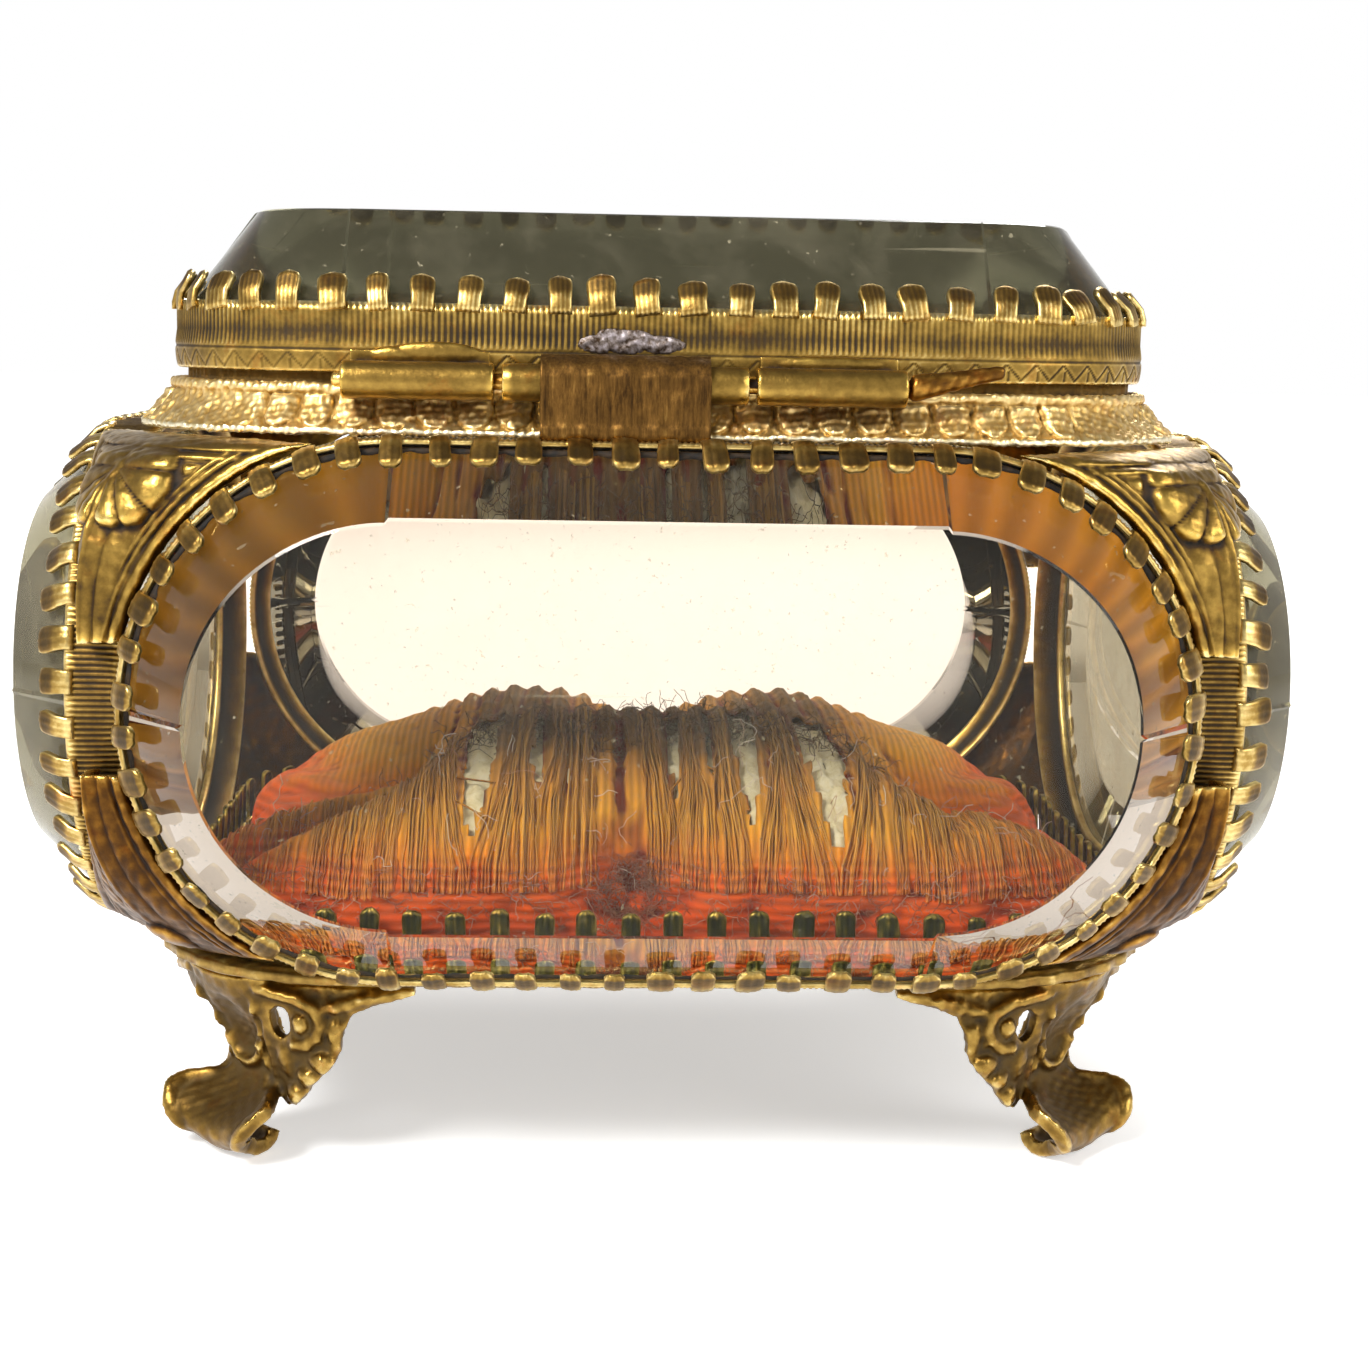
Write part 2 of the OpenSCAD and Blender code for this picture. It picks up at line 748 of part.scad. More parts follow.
function cushion_skin(drop, shrink) =
    [for (i = [1:cushion_rings], j = [0:cushion_spokes - 1])
        let (share = i / cushion_rings,
             p = plan_at(share, j / cushion_spokes),
             k = 1 - shrink / cushion_r * share)
        [p[0] * k, p[1] * k,
         cushion_foot + max(0.6, silk_height(p[0], p[1], share) - drop)]];

// A dome's points: its middle, its rings of skin and its foot on the card.
function dome_points(drop, shrink) =
    let (skin = cushion_skin(drop, shrink), last = (cushion_rings - 1) * cushion_spokes)
    concat([[0, 0, cushion_foot + silk_height(0, 0, 0) - drop]],
           skin,
           [for (j = [0:cushion_spokes - 1])
               [skin[last + j][0], skin[last + j][1], cushion_foot]]);

// Faces of a dome whose points start at first, without its flat underside.
function dome_faces(first) =
    let (n = cushion_spokes, s = first + 1)
    concat(
        [for (j = [0:n - 1]) [first, s + (j + 1) % n, s + j]],
        [for (i = [0:cushion_rings - 1], j = [0:n - 1])
            each let (a = s + i * n + j, b = s + i * n + (j + 1) % n)
            [[a, b, b + n], [a, b + n, a + n]]]);

function turned_over(faces) = [for (f = faces) [f[0], f[2], f[1]]];

// Index of a dome's first foot point and the number of its points
dome_foot = 1 + cushion_rings * cushion_spokes;
dome_size = dome_foot + cushion_spokes;

module cushion_board() {
    color("tan")
        translate([0, 0, floor_top + seat_gap])
            round_plate(cushion_r, board_t);
}

module cushion_wadding() {
    under = [for (j = [0:cushion_spokes - 1])
        [dome_size, dome_foot + j, dome_foot + (j + 1) % cushion_spokes]];
    color("ivory")
        polyhedron(
            points = concat(dome_points(silk_t + 0.3, silk_t + 0.3), [[0, 0, cushion_foot]]),
            faces = concat(dome_faces(0), under));
}

module cushion_silk() {
    hem = [for (j = [0:cushion_spokes - 1])
        each let (k = (j + 1) % cushion_spokes,
                  a = dome_foot + j, b = dome_foot + k,
                  c = dome_size + a, d = dome_size + b)
        [[a, b, d], [a, d, c]]];
    color("orangered")
        polyhedron(
            points = concat(dome_points(0, 0), dome_points(silk_t, silk_t)),
            faces = concat(dome_faces(0), turned_over(dome_faces(dome_size)), hem));
}

for (side = ["back", "front", "left", "right"]) {
    wall_glass(side);
    wall_gallery(side);
}
for (i = [0:3]) {
    top_spandrel(i);
    low_spandrel(i);
    foot(i);
}
collar();
base_ring();
floor_plate();
floor_gallery();
hinge_plate();
hinge_pin();
cushion_board();
cushion_wadding();
cushion_silk();
lid_glass();
lid_gallery();
lid_knuckle(hinge_offset - mid_barrel_l / 2 - barrel_gap - lid_barrel_l);  // lid_knuckle_left
lid_knuckle(hinge_offset + mid_barrel_l / 2 + barrel_gap);  // lid_knuckle_right
thumb_lift();
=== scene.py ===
# %% [markdown]
# # A bevelled glass casket
# This lesson dresses a small antique casket: thick panes ground to a bevel, held in
# stamped brass strips whose teeth are folded over the glass, cast feet, and a torn
# silk cushion. Lengths are worked out in millimetres and turned to metres when a
# mesh is made.

# %% Load the frame
import math

import bmesh
import bpy
import numpy as np
from mathutils import Matrix, Vector


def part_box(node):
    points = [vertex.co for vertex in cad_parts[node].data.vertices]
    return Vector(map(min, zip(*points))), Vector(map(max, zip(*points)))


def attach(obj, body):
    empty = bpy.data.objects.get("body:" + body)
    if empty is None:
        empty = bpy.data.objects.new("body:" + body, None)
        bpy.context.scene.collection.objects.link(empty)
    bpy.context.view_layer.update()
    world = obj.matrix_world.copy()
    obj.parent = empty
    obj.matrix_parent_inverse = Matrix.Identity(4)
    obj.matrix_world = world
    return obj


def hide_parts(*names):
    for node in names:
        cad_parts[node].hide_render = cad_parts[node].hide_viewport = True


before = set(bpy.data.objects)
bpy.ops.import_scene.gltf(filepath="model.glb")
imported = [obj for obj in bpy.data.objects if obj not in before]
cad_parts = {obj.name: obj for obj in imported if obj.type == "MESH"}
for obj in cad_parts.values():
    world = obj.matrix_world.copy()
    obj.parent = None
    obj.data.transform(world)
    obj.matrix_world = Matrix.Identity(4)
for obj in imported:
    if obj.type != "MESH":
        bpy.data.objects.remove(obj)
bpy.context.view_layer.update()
scene = bpy.context.scene
scene.view_settings.view_transform = "Standard"
MM = 0.001

# %% [markdown]
# Sizes that the frame already knows are read from it. The few that a box can't give,
# such as the thickness of the sheet brass, are named here.

# %% Read sizes from the frame
def span(node):
    """Lowest and highest corner of a CAD node, in millimetres."""
    low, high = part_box(node)
    return np.array(low) / MM, np.array(high) / MM


back_low, back_high = span("back_glass")
end_low, end_high = span("right_glass")
strip_low, strip_high = span("back_gallery")
end_strip_low, end_strip_high = span("right_gallery")
collar_low, collar_high = span("collar")
ring_low, ring_high = span("base_ring")
lid_low, lid_high = span("lid_gallery")
lid_glass_low, lid_glass_high = span("lid_glass")
plate_low, plate_high = span("floor_plate")

pane_r = (back_high[2] - back_low[2]) / 2
pane_z = (back_high[2] + back_low[2]) / 2
strip_r = (strip_high[2] - strip_low[2]) / 2
strip_t = 0.5
strip_depth = 4.6
rim_sink = 0.3
rim_t = 1.4
bevel_w = 5.2
bevel_rise = back_high[1] - back_low[1] - rim_t
long_face = back_low[1] + rim_t + rim_sink
end_face = end_low[0] + rim_t + rim_sink
long_half = back_high[0]
end_half = end_high[1]
STRAIGHT = {"back": long_half - pane_r, "front": long_half - pane_r,
            "left": end_half - pane_r, "right": end_half - pane_r}
FACE = {"back": long_face, "front": long_face, "left": end_face, "right": end_face}

lid_bulge = 0.3
lid_r = 14.6
corner = np.array([lid_high[0] - lid_bulge - lid_r, lid_high[1] - lid_bulge - lid_r])
print("pane radius", pane_r, "window height", pane_z, "faces", long_face, end_face)
print("lid corner axis", corner)

# %% [markdown]
# Blender's camera looks along its own -Z with +Y up. The photograph was matched with a
# camera behind the box, a little above it, turned by a few hundredths of a radian. The
# three small turns are applied about the camera's own axes.

# %% Place the camera
IMAGE_W = 1368
focal_px = 2182
camera_from_face = 160.6
camera_at = Vector((5.8, long_face + camera_from_face, pane_z + 28.2)) * MM
yaw, pitch, roll = -0.045, 0.157, 0.019


def camera_axes(yaw, pitch, roll):
    """Rows are the image's right, down and forward directions in the world."""
    base = np.array([[-1, 0, 0], [0, 0, -1], [0, -1, 0]], float)
    cy, sy, cp, sp = math.cos(yaw), math.sin(yaw), math.cos(pitch), math.sin(pitch)
    cr, sr = math.cos(roll), math.sin(roll)
    turn_y = np.array([[cy, 0, sy], [0, 1, 0], [-sy, 0, cy]])
    turn_x = np.array([[1, 0, 0], [0, cp, -sp], [0, sp, cp]])
    turn_z = np.array([[cr, -sr, 0], [sr, cr, 0], [0, 0, 1]])
    return turn_z @ turn_x @ turn_y @ base


right, down, forward = camera_axes(yaw, pitch, roll)
camera_data = bpy.data.cameras.new("camera")
camera_data.sensor_width = 36
camera_data.lens = 36 * focal_px / IMAGE_W
camera_data.clip_start = 0.01
camera = bpy.data.objects.new("camera", camera_data)
scene.collection.objects.link(camera)
camera.matrix_world = Matrix.Translation(camera_at) @ Matrix(
    np.array([right, -down, -forward]).T.tolist()).to_4x4()
scene.camera = camera
print("lens", round(camera_data.lens, 2), "mm")

# %% [markdown]
# Materials are built from nodes. One helper adds a node with its settings and links, so
# that a whole finish reads as a short recipe. Colours are written as sRGB hex values,
# and Blender works in linear light, so one function turns them.

# %% Node helpers
def linear(hex_colour):
    """An sRGB hex value as linear RGBA."""
    out = []
    for i in (1, 3, 5):
        c = int(hex_colour[i:i + 2], 16) / 255
        out.append(c / 12.92 if c <= 0.04045 else ((c + 0.055) / 1.055) ** 2.4)
    return (*out, 1.0)


def add(tree, kind, links=None, **settings):
    """Adds a node. links maps a socket's name or number to a value or another socket."""
    node = tree.nodes.new(kind)
    for name, value in settings.items():
        setattr(node, name, value)
    for key, value in (links or {}).items():
        socket = node.inputs[key]
        if isinstance(value, bpy.types.NodeSocket):
            tree.links.new(value, socket)
        elif isinstance(value, str) and value.startswith("#"):
            socket.default_value = linear(value)
        else:
            socket.default_value = value
    return node


def new_material(name):
    """An empty node material and its tree."""
    material = bpy.data.materials.new(name)
    material.use_nodes = True
    material.node_tree.nodes.clear()
    return material, material.node_tree


def ramp(tree, factor, stops, interpolation="LINEAR"):
    """A colour ramp through (place, hex or grey) stops."""
    node = add(tree, "ShaderNodeValToRGB", {"Fac": factor})
    node.color_ramp.interpolation = interpolation
    elements = node.color_ramp.elements
    while len(elements) < len(stops):
        elements.new(0.5)
    for element, (place, colour) in zip(elements, stops):
        element.position = place
        element.color = linear(colour) if isinstance(colour, str) else (colour,) * 3 + (1,)
    return node.outputs["Color"]


def noise(tree, where, size_mm, detail=4, rough=0.55, warp=0.0):
    """Noise whose blobs are about size_mm across, on Object coordinates."""
    return add(tree, "ShaderNodeTexNoise", {
        "Vector": where, "Scale": 1 / (size_mm * MM), "Detail": detail,
        "Roughness": rough, "Distortion": warp}).outputs["Fac"]


def maths(tree, operation, a, b=0.0, clamp=False):
    """One arithmetic step between sockets or numbers."""
    return add(tree, "ShaderNodeMath", {0: a, 1: b}, operation=operation,
               use_clamp=clamp).outputs[0]


def blend_colour(tree, factor, a, b, mode="MIX"):
    """Mixes two colours by a factor."""
    node = add(tree, "ShaderNodeMix", {0: factor, 6: a, 7: b}, data_type="RGBA",
               blend_type=mode)
    return node.outputs[2]


# %% [markdown]
# ** Gilt brass.** Stamped and cast brass under a thin gilding: a warm yellow metal where
# fingers rub it, brown where dirt and tarnish stay in the hollows. The pieces carry a
# point attribute called relief, from 0 in a hollow to 1 on a crest, worked out from
# their own shape. The finish reads it: hollows are dark, rough and only half metal,
# crests are bright, smooth and fully metal. The dark of the hollows is partly tarnish
# and partly painted shade, and the palest crest colour is partly rubbed metal and
# partly a painted highlight. Noise breaks the edge between the two.

# %% Gilt brass
def brass_finish(name, hollow, body, crest, gloss, tarnish, even=False):
    """Aged brass. tarnish shifts the whole piece towards its hollows' colour, and an
    even finish takes no relief, for a piece without that attribute."""
    material, tree = new_material(name)
    where = add(tree, "ShaderNodeTexCoord").outputs["Object"]
    relief = 0.45 if even else add(
        tree, "ShaderNodeAttribute", attribute_name="relief",
        attribute_type="GEOMETRY").outputs["Fac"]
    patches = noise(tree, where, 7, 5, 0.6, 0.6)
    dirt_and_shade = noise(tree, where, 1.3, 6, 0.65)
    grit = noise(tree, where, 0.3, 3)
    uneven = maths(tree, "ADD", maths(tree, "MULTIPLY", patches, 0.5),
                   maths(tree, "MULTIPLY", dirt_and_shade, 0.55))
    level = maths(tree, "ADD", relief, maths(tree, "SUBTRACT", uneven, 0.525 + tarnish))
    level = maths(tree, "MAXIMUM", level, 0.0, clamp=True)
    # Hollow colours are partly tarnish and partly painted shade; the palest crest colours are partly
    # rubbed metal and partly painted highlight.
    colour = ramp(tree, level, [(0.0, hollow[0]), (0.26, hollow[1]), (0.46, body[0]),
                                (0.62, body[1]), (0.82, crest[0]), (1.0, crest[1])])
    rust_mask = ramp(tree, noise(tree, where, 2.6, 5, 0.7, 0.4),
                     [(0.56, 0.0), (0.72, 0.42)])
    colour = blend_colour(tree, rust_mask, colour,
                          blend_colour(tree, 1.0, colour, linear("#e8914a"), "MULTIPLY"))
    metal = ramp(tree, level, [(0.1, 0.45), (0.4, 0.9), (0.6, 1.0)])
    rough = ramp(tree, level, [(0.0, 0.8), (0.35, 0.55), (0.6, gloss), (1.0, gloss - 0.1)])
    rough = maths(tree, "ADD", rough, maths(tree, "MULTIPLY",
                  maths(tree, "SUBTRACT", dirt_and_shade, 0.5), 0.35), clamp=True)
    height = maths(tree, "ADD", maths(tree, "MULTIPLY", grit, 0.35), dirt_and_shade)
    bump = add(tree, "ShaderNodeBump", {"Height": height, "Strength": 0.6,
                                        "Distance": 0.09 * MM})
    shader = add(tree, "ShaderNodeBsdfPrincipled", {
        "Base Color": colour, "Metallic": metal, "Roughness": rough,
        "Normal": bump.outputs[0]})
    add(tree, "ShaderNodeOutputMaterial", {"Surface": shader.outputs[0]})
    return material


gilt_brass = brass_finish("gilt_stamped_brass", ("#150e06", "#3a270c"),
                          ("#735926", "#98793a"), ("#cda851", "#f6e3a0"), 0.33, 0.03)
# The lid band's brass is a lighter copy of the gilt: partly rubbed metal and partly painted light on
# a band that the lamps light poorly.
band_brass = brass_finish("rubbed_and_painted_light_band_brass", ("#1f1509", "#463413"),
                          ("#7d632d", "#a08140"), ("#d3b66e", "#f6e5ae"), 0.36, 0.02)
foot_brass = brass_finish("olive_gilt_cast_brass", ("#2a1d0c", "#54401a"),
                          ("#5e4720", "#7c5f2b"), ("#a98844", "#e6cd86"), 0.34, 0.04)
# The collar's brass is the palest: bright gilt, lightened further as painted light where the lid and
# hinge shade the collar, with painted highlights on its lobes.
pale_brass = brass_finish("painted_light_gilt_cast_brass", ("#4a3618", "#96753a"),
                          ("#bb9753", "#d9ba7a"), ("#ecd69c", "#fbf0cf"), 0.46, -0.06)
fence_brass = brass_finish("green_tarnished_brass", ("#0d0f06", "#1d200e"),
                           ("#2e3218", "#42401f"), ("#665c2c", "#a8924c"), 0.5, 0.06)
dark_brass = brass_finish("dark_gilt_cast_brass", ("#120a04", "#2b190a"),
                          ("#503313", "#714c1d"), ("#ad8038", "#e4c270"), 0.36, 0.05)
strip_brass = brass_finish("tarnished_strip_brass", ("#120c05", "#2f210e"),
                           ("#54401e", "#73582b"), ("#a48545", "#e6cd88"), 0.42, 0.05)
plain_brass = brass_finish("dull_sheet_brass", ("#1a1208", "#3d2a12"),
                           ("#5f4c25", "#7f6632"), ("#a98a4a", "#d9be7a"), 0.45, 0.0, True)
# A dark finish for a ring round each pane's edge: painted shade in the gap where the strip meets the
# glass.
painted_shade, tree = new_material("packed_rim_grime")
where = add(tree, "ShaderNodeTexCoord").outputs["Object"]
shade_ring_skin = add(tree, "ShaderNodeBsdfPrincipled", {
    "Base Color": ramp(tree, noise(tree, where, 0.9, 4), [(0.4, "#0f0904"), (0.7, "#3d2a12")]),
    "Roughness": 0.8})
add(tree, "ShaderNodeOutputMaterial", {"Surface": shade_ring_skin.outputs[0]})
print("brass finishes made")

# %% [markdown]
# ** Old glass.** Soda glass with a green-grey tint that only shows through a long path,
# so the tint is a volume absorption. Lamps can't find their way through refracting
# walls, so a ray towards a lamp passes straight through instead. Dust, fibres and fine
# scratches lie on the outside as a thin pale layer. On the end panes that layer is
# thicker and an even pale veil is added: partly dust and partly a painted reflection of
# the white studio.

# %% Old glass
def glass_finish(name, cast, tint, density, dust_and_reflection_amount, pale_veil=0.0, rough=0.0):
    """Glass with a faint colour cast, an absorbing body and a dusty, scratched skin, with an even
    pale veil over it.
    """
    material, tree = new_material(name)
    where = add(tree, "ShaderNodeTexCoord").outputs["Object"]
    film = noise(tree, where, 9, 6, 0.7, 0.5)
    specks = ramp(tree, noise(tree, where, 0.55, 2, 0.5), [(0.70, 0.0), (0.76, 1.0)])
    streaks = []
    for turn, stretch in (((0.3, 0.5, 0.9), 30), ((1.1, 0.2, 2.3), 40)):
        turned = add(tree, "ShaderNodeMapping", {
            "Vector": where, "Rotation": turn, "Scale": (1.0, stretch, stretch)})
        thin = noise(tree, turned.outputs[0], 46, 2, 0.5, 0.35)
        streaks.append(ramp(tree, thin, [(0.745, 0.0), (0.77, 0.6)]))
    marks = maths(tree, "MAXIMUM", maths(tree, "MAXIMUM", streaks[0], streaks[1]), specks)
    haze = ramp(tree, film, [(0.45, 0.0), (0.8, 1.0)])
    dust = maths(tree, "ADD", maths(tree, "MULTIPLY", haze, dust_and_reflection_amount),
                 maths(tree, "MULTIPLY", marks, 0.34))
    # An even pale veil over the whole pane; on the end panes it and the heavier dust are partly
    # painted reflection.
    dust = maths(tree, "ADD", dust, pale_veil, clamp=True)
    glass = add(tree, "ShaderNodeBsdfPrincipled", {
        "Base Color": cast, "Roughness": rough, "IOR": 1.5,
        "Specular Tint": (0.22, 0.22, 0.22, 1), "Transmission Weight": 1.0})
    dust_and_reflection_layer = add(tree, "ShaderNodeBsdfDiffuse", {"Color": "#bdb294"})
    skin = add(tree, "ShaderNodeMixShader", {0: dust, 1: glass.outputs[0],
                                             2: dust_and_reflection_layer.outputs[0]})
    clear = add(tree, "ShaderNodeBsdfTransparent", {"Color": (0.94, 0.96, 0.94, 1)})
    path = add(tree, "ShaderNodeLightPath")
    open_ray = maths(tree, "MAXIMUM", path.outputs["Is Shadow Ray"],
                     path.outputs["Is Diffuse Ray"])
    surface = add(tree, "ShaderNodeMixShader", {0: open_ray, 1: skin.outputs[0],
                                                2: clear.outputs[0]})
    body = add(tree, "ShaderNodeVolumeAbsorption", {"Color": linear(tint),
                                                    "Density": density})
    add(tree, "ShaderNodeOutputMaterial", {"Surface": surface.outputs[0],
                                           "Volume": body.outputs[0]})
    return material


pane_glass = glass_finish("old_pane_glass", "#f3eae1", "#b7b79e", 20, 0.02)
# The end panes' heavy dust and veil are partly dust and partly a painted reflection of the white
# studio.
end_pane_glass = glass_finish("dust_and_painted_reflection_end_pane_glass", "#e3dcc4", "#a3a183", 30, 0.2, 0.13)
lid_pane_glass = glass_finish("old_lid_glass", "#e6e4d2", "#8c8c6c", 62, 0.12, 0.04, 0.05)
print("glass finishes made")

# %% [markdown]
# Shapes are made as grids of points in numpy, because a band swept round a window or a
# bowed patch is a grid by nature. Parts of one piece are joined before the mesh is made,
# and the normals of closed shells are turned outwards once.

# %% Mesh helpers
def grid(points, wrap_rows=False, wrap_cols=False):
    """Points in rows and columns as (vertices, quads)."""
    rows, cols = points.shape[:2]
    index = np.arange(rows * cols).reshape(rows, cols)
    if wrap_rows:
        index = np.vstack([index, index[:1]])
    if wrap_cols:
        index = np.hstack([index, index[:, :1]])
    quads = np.stack([index[:-1, :-1], index[:-1, 1:], index[1:, 1:], index[1:, :-1]], -1)
    return points.reshape(-1, 3), [tuple(q) for q in quads.reshape(-1, 4).tolist()]


def joined(parts):
    """Several (vertices, faces) as one."""
    vertices, faces, first = [], [], 0
    for v, f in parts:
        vertices.append(np.asarray(v, float))
        faces += [tuple(i + first for i in face) for face in f]
        first += len(v)
    return np.vstack(vertices), faces


def make_mesh(name, vertices, faces, material, smooth=True, outwards=True):
    """A mesh object at the origin from points in millimetres."""
    mesh = bpy.data.meshes.new(name)
    mesh.from_pydata((np.asarray(vertices, float) * MM).tolist(), [], faces)
    if outwards:
        work = bmesh.new()
        work.from_mesh(mesh)
        bmesh.ops.recalc_face_normals(work, faces=work.faces)
        work.to_mesh(mesh)
        work.free()
    mesh.polygons.foreach_set("use_smooth", [smooth] * len(mesh.polygons))
    mesh.materials.append(material)
    mesh.update()
    obj = bpy.data.objects.new(name, mesh)
    scene.collection.objects.link(obj)
    return obj


def crisp(obj, degrees=32):
    """Smooth shading with hard edges where faces turn by more than this."""
    obj.data.set_sharp_from_angle(angle=math.radians(degrees))
    return obj


def evaluated(obj):
    """Replaces an object's mesh by what its modifiers make of it."""
    depsgraph = bpy.context.evaluated_depsgraph_get()
    mesh = bpy.data.meshes.new_from_object(obj.evaluated_get(depsgraph))
    obj.modifiers.clear()
    obj.data = mesh
    return obj


def finish_piece(obj, body, slot, *nodes):
    """Attaches the piece to what it rides on and hides the nodes that it stands for; slot is not
    used.
    """
    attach(obj, body)
    if nodes:
        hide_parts(*nodes)
    print(obj.name, len(obj.data.polygons), "faces")
    return obj


def add_relief(obj, spread_mm=0.5, gain_mm=0.06):
    """Point attribute relief: 0.5 on even ground, 1 on crests and 0 in hollows.

    Each point is set against a copy of the surface that has been smoothed until
    details of about spread_mm are gone."""
    mesh = obj.data
    count = len(mesh.vertices)
    place = np.empty(count * 3)
    mesh.vertices.foreach_get("co", place)
    place = place.reshape(-1, 3) / MM
    normal = np.empty(count * 3)
    mesh.vertices.foreach_get("normal", normal)
    normal = normal.reshape(-1, 3)
    edges = np.empty(len(mesh.edges) * 2, int)
    mesh.edges.foreach_get("vertices", edges)
    edges = edges.reshape(-1, 2)
    length = np.linalg.norm(place[edges[:, 0]] - place[edges[:, 1]], axis=1).mean()
    steps = int(np.clip((spread_mm / length) ** 2, 3, 60))
    degree = np.bincount(edges.ravel(), minlength=count)[:, None]
    calm = place.copy()
    for _ in range(steps):
        total = np.zeros_like(calm)
        np.add.at(total, edges[:, 0], calm[edges[:, 1]])
        np.add.at(total, edges[:, 1], calm[edges[:, 0]])
        calm = 0.4 * calm + 0.6 * total / np.maximum(degree, 1)
    height = ((place - calm) * normal).sum(1)
    value = np.clip(0.5 + height / (2 * gain_mm), 0, 1)
    layer = mesh.attributes.get("relief") or mesh.attributes.new("relief", "FLOAT", "POINT")
    layer.data.foreach_set("value", value.astype(np.float32))
    return obj


def wobble(points, size_mm, seed, waves=7):
    """Smooth random numbers from about -1 to 1, a value for each point."""
    random = np.random.default_rng(seed)
    out = np.zeros(points.shape[:-1])
    for _ in range(waves):
        way = random.normal(size=points.shape[-1])
        way *= 2 * math.pi / size_mm / np.linalg.norm(way) * random.uniform(0.6, 1.5)
        out += np.sin(points @ way + random.uniform(0, 2 * math.pi))
    return out / math.sqrt(waves)


# %% [markdown]
# Every band on the casket follows a rounded rectangle. A track holds, for each step
# round it, the point on the inner rectangle that the corners turn about, the outward
# direction and the distance travelled. A profile of (radius, height) swept along a
# track gives a band, and the same track says where a tooth or a leaf stands.

# %% Tracks and sweeps
def track(a, b, r, step):
    """Rounded rectangle of straights a, b and corner radius r, in steps of about step."""
    centre, turn, way, gone = [], [], [], 0.0
    for k in range(4):
        sx, sy = ((1, 1), (-1, 1), (-1, -1), (1, -1))[k]
        arc = math.pi * r / 2
        n = max(2, round(arc / step))
        t = np.arange(n) / n
        centre += [(sx * a, sy * b)] * n
        turn += list(math.pi / 2 * (k + t))
        way += list(gone + arc * t)
        gone += arc
        length = 2 * (a, b)[k % 2]
        if length > 0:
            n = max(1, round(length / step))
            t = np.arange(n) / n
            nx, ny = ((-1, 1), (-1, -1), (1, -1), (1, 1))[k]
            ends = np.array([[sx * a, sy * b], [nx * a, ny * b]])
            centre += (ends[0] + t[:, None] * (ends[1] - ends[0])).tolist()
            turn += [math.pi / 2 * (k + 1)] * n
            way += list(gone + length * t)
            gone += length
    turn = np.array(turn)
    return {"centre": np.array(centre), "out": np.stack([np.cos(turn), np.sin(turn)], -1),
            "turn": turn, "way": np.array(way), "length": gone}


def at_way(a, b, r, way):
    """Centre and outward angle of a track at the distances in way."""
    fine = track(a, b, r, 0.05)
    pick = np.searchsorted(fine["way"], np.mod(way, fine["length"])) - 1
    return fine["centre"][pick], fine["turn"][pick]


def sweep(path, radius, height):
    """Points of a band. radius and height are (steps, profile) or (profile,) arrays."""
    radius = np.broadcast_to(radius, (len(path["way"]), np.shape(radius)[-1]))
    height = np.broadcast_to(height, radius.shape)
    xy = path["centre"][:, None] + path["out"][:, None] * radius[..., None]
    return np.concatenate([xy, height[..., None]], -1)


def on_side(side, points):
    """Moves points from a window's own frame, z out of the box, to that side."""
    x, y, z = points[..., 0], points[..., 1], points[..., 2] + FACE[side]
    up = y + pane_z
    return np.stack({"back": (-x, z, up), "front": (x, -z, up),
                     "right": (z, x, up), "left": (-z, -x, up)}[side], -1)


SIDES = ("back", "front", "left", "right")

# %% [markdown]
# **The wall panes** are plates whose ends are half rounds, ground all round to a wide
# bevel. Glass bends what is behind it, so its faces have to be true: the CAD solid's
# facets would show, and each pane is lofted again in fine steps, with a hair-thin
# rounding on its edges to catch the light. A hand-ground bevel is never even: it is a
# little wider round the ends, and where straight meets round it leaves a mitre.

# %% Wall panes
def pane_rings(a, b, r, rim, width, rise, mitre, seed):
    """Rings of a bevelled pane from its front's edge to its back's edge."""
    path = track(a, b, r, 0.35)
    straight = np.isclose(np.mod(path["turn"], math.pi / 2), 0)
    width = np.where(straight, width - mitre, width)[:, None]
    width = width + 0.06 * wobble(path["out"], 1.3, seed)[:, None]
    top = rim + rise
    edge = 0.12
    radius = np.hstack([r - width - edge, r - width + edge, r + 0 * width - edge,
                        r + 0 * width, r + 0 * width, r + 0 * width - edge])
    height = np.array([top, top - edge, rim + edge, rim - edge, edge, 0])
    return sweep(path, radius, height)


def bevelled_pane(name, points, material):
    """Closes the rings with a flat front and back."""
    vertices, faces = grid(points, wrap_rows=True)
    steps, rings = points.shape[:2]
    faces.append(tuple(range(0, steps * rings, rings)))
    faces.append(tuple(range(rings - 1, steps * rings, rings))[::-1])
    return crisp(make_mesh(name, vertices, faces, material), 20)


for i, side in enumerate(SIDES):
    rings = pane_rings(STRAIGHT[side], 0, pane_r, rim_t, bevel_w, bevel_rise, 0.35, 3 + i)
    rings[..., 2] -= rim_sink + rim_t
    pane = bevelled_pane(f"{side}_pane", on_side(side, rings),
                         end_pane_glass if side in ("left", "right") else pane_glass)
    finish_piece(pane, "casket", "pane_glass", f"{side}_glass")

lid_rim = 1.1
lid_bevel_w = 5.8
lid_rise = lid_glass_high[2] - lid_glass_low[2] - lid_rim
lid_pane_r = lid_glass_high[0] - corner[0]
rings = pane_rings(*corner, lid_pane_r, lid_rim, lid_bevel_w, lid_rise, 0.3, 11)
rings[..., 2] += lid_glass_low[2]
lid_pane = bevelled_pane("lid_pane", rings, lid_pane_glass)
finish_piece(lid_pane, "lid", "lid_glass", "lid_glass")

# %% [markdown]
# **Crimped teeth.** One tongue of sheet is modelled: it leaves the strip's edge, bends
# over and lies on the bevel, with a rounded tip and three fine ribs. A Geometry Nodes
# tree then stands a copy on each point of a row. Every point carries its own turn and
# size, because teeth folded by hand differ in lean and width.

